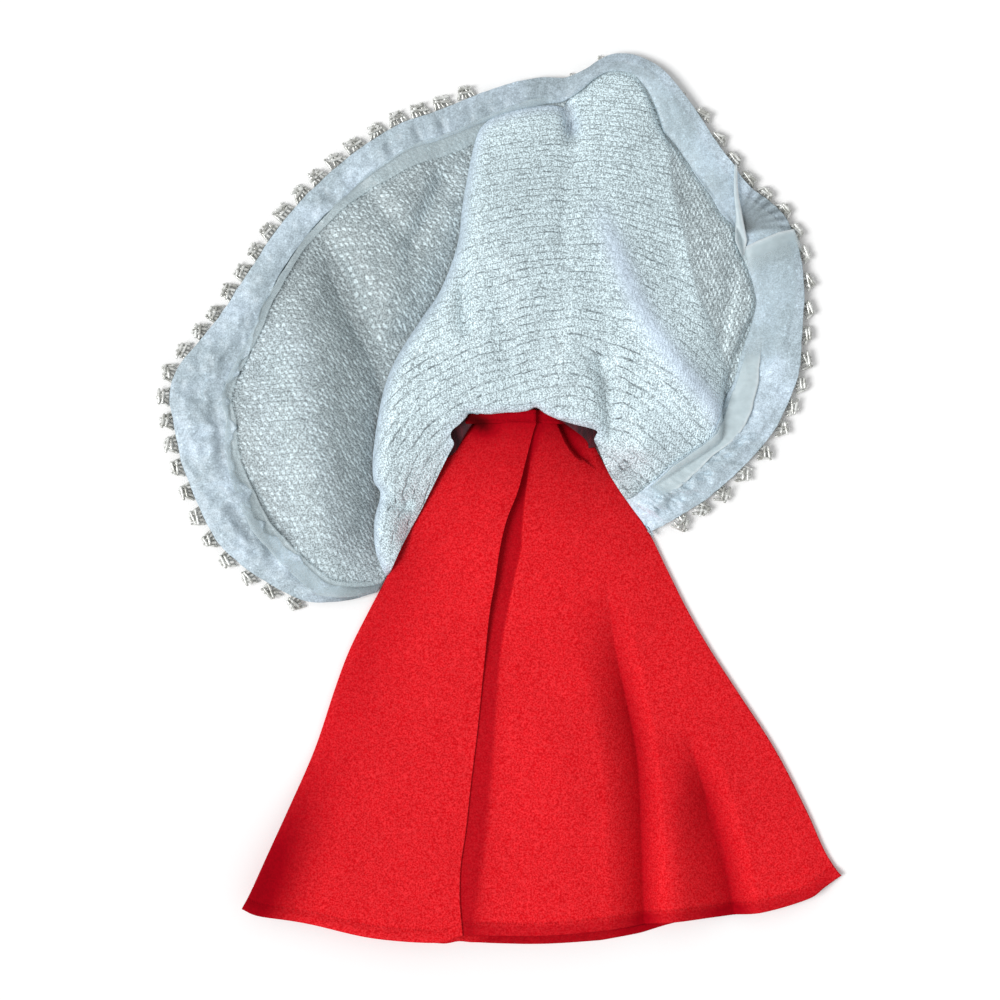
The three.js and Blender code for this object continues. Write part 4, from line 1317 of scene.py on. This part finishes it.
# A painted shadow line below the upper layer's hem, and painted shade over the front layer's hem where it
# shows
hem_shadow_line = HEM_PAINTED_SHADOW_LINE * bell(to_upper_hem, HEM_LINE_WIDTH)
front_detail["deep"] = clamp(front_detail["deep"] + FRONT_HEM_PAINTED_SHADE) + hem_shadow_line
front = cloth("skirt_front", [(front_top, front_detail)], CLOTH, crepe)

right_top, right_detail, _ = skirt_panel(RIGHT_GRID, under_wrap, right_of_skirt, right_level)
right_x, right_y, _ = np.moveaxis(right_top, -1, 0)
wrap_gap, _, wrap_share = near_line(right_x, right_y, wrap_edge)
# Painted shadow of the lifted flap on the right panel, beside the wrap's free edge
wrap_soft = mix(STRIP_SOFT, STRIP_SOFT_HEM, smoothstep(*STRIP_SOFTENS, wrap_share))
strip_deep = STRIP_PAINTED_SHADOW * np.maximum(strip_share(right_x, right_y), bell(wrap_gap, wrap_soft))
right_detail["deep"] = np.maximum(right_detail["deep"], clamp(right_detail["deep"] + strip_deep))
right = cloth("skirt_right", [(right_top, right_detail)], CLOTH, crepe)

left_top, left_detail, _ = skirt_panel(LEFT_GRID, left_of_skirt, wrap_of, left_level)
left = cloth("skirt_left_with_flap", [(left_top, left_detail)], CLOTH, crepe)

# Waistband: one strip round the waist, its ends lapped
low_level = BAND_WALL / 2
under_level = CLOTH + LAYER_GAP + DOME_AT_WAIST + low_level
upper_level = under_level + BAND_WALL + SNAP_STACK
band_left = WAIST_X - WAIST_WIDTH / 2 + (upper_level - low_level) / 2
band_right = WAIST_X + WAIST_WIDTH / 2 - (under_level - low_level) / 2
closure_x = wrap_edge[0][0]


def band_run(start, end, level, points):
    return np.column_stack([np.linspace(start, end, points), np.full(points, level)])


def band_turn(x, level, start):
    radius = (level - low_level) / 2
    angles = start - math.pi * np.linspace(0, 1, BAND_TURN_POINTS)
    return np.column_stack([x + radius * np.cos(angles), low_level + radius + radius * np.sin(angles)])


band_path = np.vstack([
    band_run(closure_x - BAND_LAP, band_right - BAND_OPEN, under_level, BAND_END_POINTS),
    band_turn(band_right, under_level, math.pi / 2),
    band_run(band_right - BAND_OPEN, band_left + BAND_OPEN, low_level, BAND_BACK_POINTS),
    band_turn(band_left, upper_level, -math.pi / 2),
    band_run(band_left + BAND_OPEN, closure_x, upper_level, BAND_END_POINTS),
])
band_share = np.linspace(0, 1, BAND_ROWS)
band_round = 1 - np.abs(2 * band_share - 1) ** BAND_EDGE_POWER
band_out = left_of_line(band_path) * BAND_WALL / 2
band_section = band_path[::-1, None] + band_out[::-1, None] * band_round[:, None]
band_x, band_z = np.moveaxis(band_section, -1, 0)
band_y = WAIST_Y + BAND_HEIGHT * band_share + 0 * band_x
# The whole waistband is painted in shade under the raised cloth's lip, with painted shadows beside the waist
band_detail = {
    "hem": BAND_STITCH_SPREAD * np.abs(band_share - 0.5) + BAND_STITCH_IN,
    "along": band_x,
    "deep": 1 + red_painted_shadow(band_x, band_y),
}
waistband = cloth("waistband_strip", [(grid_of(band_x, band_y, band_z), band_detail)], BAND_WALL, crepe)

# Overskirt outline by bearing
OVER = np.array([OVER_X, OVER_Y])
over_hem = traced(OVER_HEM_PX)
fold_line = traced(FOLD_EDGE_PX)
lower_line = traced(LOWER_EDGE_PX)
waist_line = traced(LOWER_EDGE_PX[WAIST_MARKS])
right_edge = traced(RIGHT_EDGE_PX)
row_base = traced(ROW_BASE_PX)
row_length = np.hypot(*np.diff(row_base, axis=0).T).sum()
puff_levels = Levels(PUFF_LEVELS)
wing_levels = Levels(WING_LEVELS)


def over_reach(line, bearing):
    """Distance from the waist's middle to a line at each bearing."""
    dx, dy = (line - OVER).T
    return reach_at(np.asarray(bearing) * DEGREE, np.unwrap(np.arctan2(dy, dx)), np.hypot(dx, dy))


hem_at = partial(over_reach, over_hem)
fold_at = partial(over_reach, fold_line)
inner_at = partial(over_reach, lower_line)


def over_place(bearing, distance):
    turn = np.asarray(bearing) * DEGREE
    return OVER_X + distance * np.cos(turn), OVER_Y + distance * np.sin(turn)


def over_bearing(x, y):
    return np.degrees(np.arctan2(y - OVER_Y, x - OVER_X))


def notch_share(bearing):
    """1 over the left half, from the notch round to the red skirt."""
    return smoothstep(NOTCH_START, NOTCH_END, bearing)


def ends_fade(bearing, start, end, width):
    return smoothstep(0, width, bearing - start) * smoothstep(0, width, end - bearing)


def rounded(gap, roll):
    """Share of full height near a rolled edge."""
    return np.sqrt(1 - (1 - clamp(gap / roll)) ** 2)


def rolled_down(height, x, y, line, roll, floor, share):
    """Heights that roll down to a floor at a line and stay there outside it."""
    gap, side, along = near_line(x, y, line)
    beyond = (along <= 0) | (along >= 1)
    inside = np.where((side > 0) | beyond, rounded(gap, roll), 0.0)
    return mix(height, mix(np.minimum(height, floor), height, inside), share)


def puff_height(x, y):
    height = np.maximum(puff_levels(x, y), PUFF_GROUND) + folds(x, y, PUFF_FOLDS) + ripple(x, y, PUFF_RIPPLE)
    bearing = over_bearing(x, y)
    left = notch_share(np.where(bearing < -90, bearing + 360, bearing))
    height = rolled_down(height, x, y, fold_line, FOLD_ROLL, FOLD_FLOOR, left)
    height = rolled_down(height, x, y, right_edge, RIGHT_ROLL, RIGHT_FLOOR, 1 - left)
    to_waist = near_line(x, y, waist_line)[0]
    over_waist = smoothstep(*LIP_LEVELS, height) * (to_waist < WAIST_ROLL)
    lip = mix(np.minimum(WAIST_EDGE_LEVEL, height), height, rounded(to_waist, WAIST_ROLL))
    return np.maximum(mix(height, lip, over_waist), CLOTH + PUFF_LEAST)


def wing_height(x, y):
    height = wing_levels(x, y) + folds(x, y, WING_FOLDS) + ripple(x, y, WING_RIPPLE)
    return np.maximum(height, CLOTH + WING_LEAST_LEVEL)


def clustered(count):
    """Shares from 0 to 1, closer together at the ends."""
    t = np.linspace(0, 1, count)
    return mix(t, 0.5 - 0.5 * np.cos(math.pi * t), END_CROWDING)


def knit_rows(x, y, lift):
    """Rows at even distances from the gathered waist, and places along them."""
    distance, _, share = near_line(x, y, row_base)
    fan = np.arctan2(x - row_base[:, 0].mean(), y - row_base[:, 1].min()) * distance
    reach = np.maximum(distance - ROW_LIFT * lift, 0)
    return reach / ROW_PITCH + ROW_CLOSING * reach ** 2, share * row_length + fan


def red_edge_bearing(distance):
    """Bearing of the red skirt's left edge, where the overskirt ends."""
    bearing = over_bearing(*left_side.T) % 360
    return np.interp(distance, np.hypot(*(left_side - OVER).T), bearing) - RED_CLEARANCE / distance / DEGREE


def over_grid(start, finish, columns, shares, inner_of, outer_of):
    """Bearings and distances between two edges, up to the red skirt where that comes first."""
    u = np.linspace(0, 1, columns)[:, None]
    bearing = mix(start, finish, u) + 0 * shares
    for _ in range(SETTLE_ROUNDS):
        distance = mix(inner_of(bearing), outer_of(bearing), shares)
        bearing = mix(start, np.minimum(finish, red_edge_bearing(distance)), u)
    return bearing, mix(inner_of(bearing), outer_of(bearing), shares)


# Puff
def puff_sheet():
    columns, rows = PUFF_GRID
    bearing = np.linspace(OVER_START, OVER_FINISH - PUFF_SHORT, columns)[:, None]
    outer = mix(hem_at(bearing) - EDGE_GAP, fold_at(bearing), notch_share(bearing))
    x, y = over_place(bearing, mix(inner_at(bearing), outer, clustered(rows)))
    gap, side, _ = near_line(x, y, traced(RIGHT_TURN_PX))
    turned = smoothstep(*RIGHT_TURN_SOFT, gap * side) * (x > RIGHT_TURN_FROM)
    row, wale = knit_rows(x, y, folds(x, y, PUFF_FOLDS))
    twill_row = (math.sin(RIGHT_TWILL) * x - math.cos(RIGHT_TWILL) * y) / RIGHT_TWILL_PITCH
    twill_wale = WING_STITCH * (math.cos(RIGHT_TWILL) * x + math.sin(RIGHT_TWILL) * y)
    right = smoothstep(*RIGHT_PALE_PX, MIDDLE_PX + x / PIXEL) * (y < OVER_Y + RIGHT_PALE_BELOW)
    pale = [
        fold(x, y, PUFF_FOLDS[0][0], 1.0, STREAK_WIDTH, STREAK_WIDTH),
        FOLD_PALE * bell(near_line(x, y, fold_line)[0], FOLD_PALE_WIDTH),
        WAIST_PALE * bell(near_line(x, y, waist_line)[0], FOLD_PALE_WIDTH),
        RIGHT_PALE * right,
    ]
    twill = RIGHT_TURN_SHARE * turned
    # The shade value is painted shade, less painted light on the turned-over cloth
    return grid_of(x, y, puff_height(x, y)), {
        "row": np.where(turned > 0.5, twill_row, row),
        "wale": np.where(turned > 0.5, twill_wale, wale),
        "pale": np.maximum.reduce(pale),
        "twill": twill,
        "shade": np.minimum(folds(x, y, PUFF_SHADES), 1.0) - RIGHT_TURN_LIGHT * twill,
    }


# Wing
def wing_inner(bearing):
    return np.minimum(fold_at(bearing) - WING_TUCK, hem_at(bearing) - WING_LEAST)


def wing_outer(bearing):
    return hem_at(bearing) - EDGE_GAP


def wing_sheet():
    columns, rows = WING_GRID
    share = np.linspace(0, 1, rows)
    x, y = over_place(*over_grid(NOTCH_START, OVER_FINISH, columns, share, wing_inner, wing_outer))
    z = wing_height(x, y)
    # Along the ridge the rows show and the cloth is painted lighter, a painted highlight
    ridge = bell(near_line(x, y, traced(WING_ROWS_PX))[0], WING_ROWS_WIDTH)
    return grid_of(x, y, z), {
        "row": (y + WING_ROW_SLANT * x - ROW_LIFT * z) / WING_ROW_PITCH,
        "wale": WING_STITCH * x,
        "pale": 1 - WING_ROWS_SHOW * ridge,
        "twill": 1 - WING_RIDGE_HIGHLIGHT * ridge,
        "shade": clamp(folds(x, y, WING_SHADES)),
    }


puff = cloth("overskirt_puff_cloth", [puff_sheet()], CLOTH, knit)
wing = cloth("overskirt_wing_cloth", [wing_sheet()], CLOTH, knit)


# Facing, which lies on the cloth's rim
def rim_height(bearing, x, y):
    return mix(puff_height(x, y), wing_height(x, y), notch_share(bearing)) + CLOTH + LAYER_GAP


def rim_ripple(bearing, relief):
    return ripple(bearing * RIM_STEP, 0.0, relief)


def facing_width(bearing):
    ragged = smoothstep(*RAGS_FROM, bearing) * smoothstep(*RAGS_TO, bearing)
    width = by_table(FACING_WIDTHS, bearing) + rim_ripple(bearing, FACING_WAVER)
    return width + ragged * rim_ripple(bearing, FACING_RAGS)


def facing_inner(bearing):
    return np.maximum(hem_at(bearing) - facing_width(bearing), inner_at(bearing))


def facing_outer(bearing):
    return hem_at(bearing) + rim_ripple(bearing, HEM_WAVER)


def facing_bulge(share):
    """Rounded at the inner edge, gentle at the hem."""
    arch = np.maximum(np.sin(math.pi * share), 0)
    return np.where(share < 0.5, np.sqrt(arch), arch)


def facing_crumple(bearing, share):
    """Creased relief of the facing."""
    along = bearing * RIM_STEP
    width = facing_width(bearing)
    inward = width * share
    relief = 1 - np.abs(ripple(along, RIDGE_STRETCH * inward, FACING_RIDGES))
    relief = relief + ripple(along, GATHER_STRETCH * inward, FACING_GATHERS)
    relief = relief + ripple(along, inward, FACING_PEBBLES)
    at_right = smoothstep(*RIGHT_CRUMPLE_TO, bearing)
    relief = relief + RIGHT_CRUMPLE_FINE * at_right * (1 - np.abs(ripple(along, inward, RIGHT_RIDGES)))
    smooth = at_right * smoothstep(*RIGHT_CRUMPLE_BAND, width - inward)
    return relief * (1 - RIGHT_SMOOTH * smooth) * by_table(FACING_CRUMPLES, bearing)


knot_lines = [
    [KNOT_PX, ((KNOT_PX[0] + x) / 2, (KNOT_PX[1] + y) / 2 - KNOT_BOW), (x, y)] for x, y in KNOT_ENDS_PX
]
facing_folds = FACING_FOLDS + [(line, KNOT_DEPTH, KNOT_WIDTH, KNOT_WIDTH) for line in knot_lines]
facing_painted_shadows = FACING_PAINTED_SHADOWS + [(line, KNOT_PAINTED_SHADE, KNOT_WIDTH, KNOT_WIDTH) for line in knot_lines]


def facing_sheet():
    columns, rows = FACING_GRID
    share = clustered(rows)
    start = OVER_START + FACING_START
    bearing, distance = over_grid(start, OVER_FINISH, columns, share, facing_inner, facing_outer)
    x, y = over_place(bearing, distance)
    relief = folds(x, y, facing_folds)
    rise = FACING_PUFF + FACING_CRUMPLE * facing_crumple(bearing, share) + relief
    rise = np.maximum(rise, FACING_LEAST) * facing_bulge(share)
    rise = rise * ends_fade(bearing, OVER_START, OVER_FINISH, FACING_END)
    # Painted shade in the folds, along painted shadows and by bearing; negative values are painted light
    shade = clamp(-FACING_SHADE * relief) + folds(x, y, facing_painted_shadows) + by_table(FACING_SHADES, bearing)
    return grid_of(x, y, rim_height(bearing, x, y) + rise), {"shade": shade}


facing = cloth("hem_facing", [facing_sheet()], CLOTH, facing_paint)


# Ribbon stretches and tails, as one sheer piece
def above_facing(bearing, x, y):
    """How high the facing reaches at a place."""
    gap = hem_at(bearing) - np.hypot(x - OVER_X, y - OVER_Y)
    share = clamp(gap / by_table(FACING_WIDTHS, bearing))
    return rim_height(bearing, x, y) + (FACING_PUFF + FACING_ROOM) * facing_bulge(1 - share)


def ribbon_edge(bearings, insets, waver, bearing):
    return hem_at(bearing) - np.interp(bearing, bearings, insets) - waver * rim_ripple(bearing, RIBBON_WAVER)


def ribbon_stretch(table, edge_share, density):
    bearings, outer_insets, inner_insets = np.array(table).T
    start, end = bearings[[0, -1]]
    inner = partial(ribbon_edge, bearings, inner_insets, INNER_WAVER)
    outer = partial(ribbon_edge, bearings, outer_insets, 1.0)
    share = np.linspace(0, 1, RIBBON_ROWS)
    columns = max(RIBBON_LEAST_COLUMNS, int(RIBBON_COLUMNS_PER_DEGREE * (end - start)))
    bearing, distance = over_grid(start, end, columns, share, inner, outer)
    x, y = over_place(bearing, distance)
    wave = ripple(bearing * RIM_STEP, RIBBON_WAVE_STRETCH * share, RIBBON_WAVES)
    z = above_facing(bearing, x, y) + RIBBON_THICK + np.maximum(wave, -RIBBON_SINK)
    edge = edge_share * bell((1 - share) * (outer(bearing) - inner(bearing)), RIBBON_EDGE)
    ends = ends_fade(bearing, start, end, RIBBON_FADE)
    return grid_of(x, y, z), {"edge": edge * ends, "dense": (density + EDGE_DENSITY * edge) * ends}


def strip(line, widths, rows):
    """Places across a strip along a line, and their shares of its width, from its left to its right."""
    share = np.linspace(0.5, -0.5, rows)
    offsets = share * np.reshape(widths, (-1, 1))
    x, y = np.moveaxis(line[:, None] + left_of_line(line)[:, None] * offsets[..., None], -1, 0)
    return x, y, share


def ribbon_tail(path_px, widths, rise, edges, densities):
    line = traced(path_px, TAIL_STEPS)
    width = spread(widths, len(line))[:, None]
    x, y, share = strip(line, width, TAIL_ROWS)
    arch = np.sqrt(np.maximum(0.25 - share ** 2, 0))
    end = np.sqrt(np.sin(math.pi * np.linspace(0, 1, len(line))))[:, None]
    z = above_facing(over_bearing(x, y), x, y) + TAIL_LAYERS * RIBBON_THICK + rise * arch * end
    edge = np.where(share > 0, *edges) * bell((0.5 - np.abs(share)) * width, RIBBON_EDGE)
    return grid_of(x, y, z), {"edge": edge, "dense": mix(*densities, 0.5 - share) + EDGE_DENSITY * edge}


ribbon_tables = zip(RIBBON_STRETCHES, RIBBON_EDGE_SHARES, RIBBON_DENSITIES)
ribbon_sheets = [ribbon_stretch(*stretch) for stretch in ribbon_tables]
ribbon_sheets += [ribbon_tail(*tail) for tail in RIBBON_TAILS]
ribbon = cloth("organza_ribbon", ribbon_sheets, RIBBON_THICK, organza_paint)

# Gathered seam tape round the waist, dark with painted shade
tape_line = traced(TAPE_PX, TAPE_STEPS)
tape_x, tape_y, _ = strip(tape_line, TAPE_WIDTH, TAPE_ROWS)
tape_wave = TAPE_GATHER * np.sin(TAPE_GATHER_STEP * np.arange(len(tape_line)))
tape_z = (spread(TAPE_LEVELS, len(tape_line)) + tape_wave)[:, None]
tape = cloth("waist_tape", [(grid_of(tape_x, tape_y, tape_z), {})], TAPE_THICK, tape_shade_paint)

# Bead fringe: loops of short tubes and round seeds on a heading thread
random_state = np.random.default_rng(SEED)


def bead_loop(parts, bearing, line, outward, level):
    """A fan of bead bars, side by side, with round seeds at their tips and bars across them."""
    turn = bearing * DEGREE
    radial = outward * np.array([math.cos(turn), math.sin(turn), 0.0])
    along = np.array([-math.sin(turn), math.cos(turn), 0.0])
    root = np.array([*over_place(bearing, line), level])
    sway = random_state.uniform(-LOOP_SWAY, LOOP_SWAY)
    reach = by_table(LOOP_REACHES, bearing) - SEED_BEAD_RADIUS
    for k, share in enumerate(np.linspace(-0.5, 0.5, BARS_PER_LOOP)):
        lean = sway + random_state.uniform(-BAR_LEAN, BAR_LEAN)
        length = reach * random_state.uniform(*BAR_LENGTHS)
        start = root + UP * BEAD_RADIUS * (k % 2)
        foot = start + along * BAR_SPREAD * share + radial * BAR_ROOT
        tip = start + along * (BAR_SPREAD * BAR_TAPER * share + lean * length) + radial * length
        parts.bead(foot, mix(foot, tip, BAR_SHARE), TUBE_PROFILE, BEAD_RADIUS)
        half = along * SEED_BEAD_RADIUS * SEED_BEAD_HALF
        parts.bead(tip - half, tip + half, SEED_PROFILE, SEED_BEAD_RADIUS)
    for share in CROSS_BARS:
        slant = random_state.uniform(-BAR_LEAN, BAR_LEAN) * radial
        middle = root + radial * reach * share + UP * 2 * BEAD_RADIUS
        half = (along + slant) * BAR_SPREAD * random_state.uniform(*CROSS_HALVES)
        parts.bead(middle - half, middle + half, TUBE_PROFILE, BEAD_RADIUS)


def fringe(name, start, end, offset, level):
    """A stretch of bead loops and their heading thread, at an offset from the hem."""
    parts = Parts()
    outward = math.copysign(1, offset)
    length = (end - start) * DEGREE * float(hem_at((start + end) / 2))
    count = max(1, int(length // BEAD_PITCH))
    for i in range(count):
        bearing = mix(start, end, (i + 0.5) / count)
        bead_loop(parts, bearing, float(hem_at(bearing)) + offset, outward, level)
    bearings = np.linspace(start, end, HEADING_POINTS)
    x, y = over_place(bearings, hem_at(bearings) + offset - HEADING_IN * outward)
    path = grid_of(x, y, level - HEADING_DROP)
    parts.add(path, unit(np.gradient(path, axis=0)), np.full(len(path), HEADING_RADIUS), HEADING_SIDES)
    return make_mesh(name, in_frame(parts.points), parts.faces, bead_paint, {})


FREE_OFFSET = EDGE_GAP + HEADING_RADIUS
TUCKED_OFFSET = -2 * EDGE_GAP - HEADING_RADIUS
FRINGES = [
    ("right", FRINGE_START, HEM_SPLIT, 3, FREE_OFFSET, RIGHT_LIFT),
    ("top", HEM_SPLIT + TOP_FRINGE_IN, FOLD_BEARING - TOP_FRINGE_IN, 1, TUCKED_OFFSET, 0.0),
    ("left", FOLD_BEARING + LEFT_FRINGE_IN, LEFT_FRINGE_END, 4, FREE_OFFSET, 0.0),
]
for side, start, end, count, offset, lift in FRINGES:
    span = (end - start) / count
    for i in range(count):
        first = start + i * span
        last = start + (i + 1) * span - FRINGE_GAP
        piece = fringe(f"fringe_{side}_{i + 1}", first, last, offset, TABLE_LEVEL + lift)
        stands(piece, "overskirt", "silver_beads", f"bead_fringe_{side}_{i + 1}")

# Metal closure keeps its shape
for node in ("snap_socket", "snap_stud", "waist_hook"):
    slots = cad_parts[node].data.materials
    slots.clear()
    slots.append(brass_paint)

# Bodies of the cloth pieces, and the solids they stand for
stands(front, "skirt", "red_crepe", "skirt_front_panel")
stands(right, "skirt", "red_crepe", "skirt_right_back_panel")
stands(waistband, "skirt", "red_crepe", "waistband")
stands(puff, "overskirt", "silver_knit", "overskirt_puff")
stands(wing, "overskirt", "silver_knit", "overskirt_wing")
stands(facing, "overskirt", "pale_facing", "hem_facing_left", "hem_facing_top", "hem_facing_right")
stands(ribbon, "overskirt", "organza", "organza_ribbon_left", "organza_ribbon_top", "organza_ribbon_right")
stands(tape, "overskirt", "pale_facing", "overskirt_waist_tape")

# The left layer bends between its panel and its lifted flap
crease_top = wrap_edge[0] - (FLAP_ROOT_WIDTH, 0.0)
crease_hem = wrap_edge[-1] - (FLAP_HEM_WIDTH, -CREASE_HEM_RISE)
crease_way = unit(crease_hem - crease_top)
crease_side = CREASE_HALF * np.array([-crease_way[1], crease_way[0]])
crease_middle = (crease_top + crease_hem) / 2
crease_edges = [crease_middle - crease_side, crease_middle + crease_side]
bend_start, bend_end = in_frame([[*edge, CREASE_LEVEL] for edge in crease_edges])
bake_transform(left, "skirt", "wrap_flap", start=tuple(bend_start), end=tuple(bend_end))
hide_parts("skirt_left_back_panel", "wrap_flap")

# Floor and light
floor_paint = Paint("white_floor", Roughness=0.9, Specular_IOR_Level=0.0, Base_Color=WHITE)
floor_points = [(x, y, FLOOR_LEVEL) for x, y in FLOOR_CORNERS]
floor = make_mesh("floor", floor_points, [(0, 1, 2, 3)], floor_paint.material, {})

key_light = bpy.data.lights.new("key", "SUN")
key_light.energy = KEY_STRENGTH
key_light.angle = KEY_ANGLE
key = add_object("key", key_light)
key_side = math.sin(KEY_TILT)
key_from = Vector((key_side * math.cos(KEY_BEARING), key_side * math.sin(KEY_BEARING), math.cos(KEY_TILT)))
key.rotation_euler = key_from.to_track_quat("Z", "Y").to_euler()
world = bpy.data.worlds.new("studio")
world.use_nodes = True
background = world.node_tree.nodes["Background"]
background.inputs["Color"].default_value = WHITE
background.inputs["Strength"].default_value = FILL_STRENGTH
bpy.context.scene.world = world
bpy.context.scene.view_settings.view_transform = "Standard"
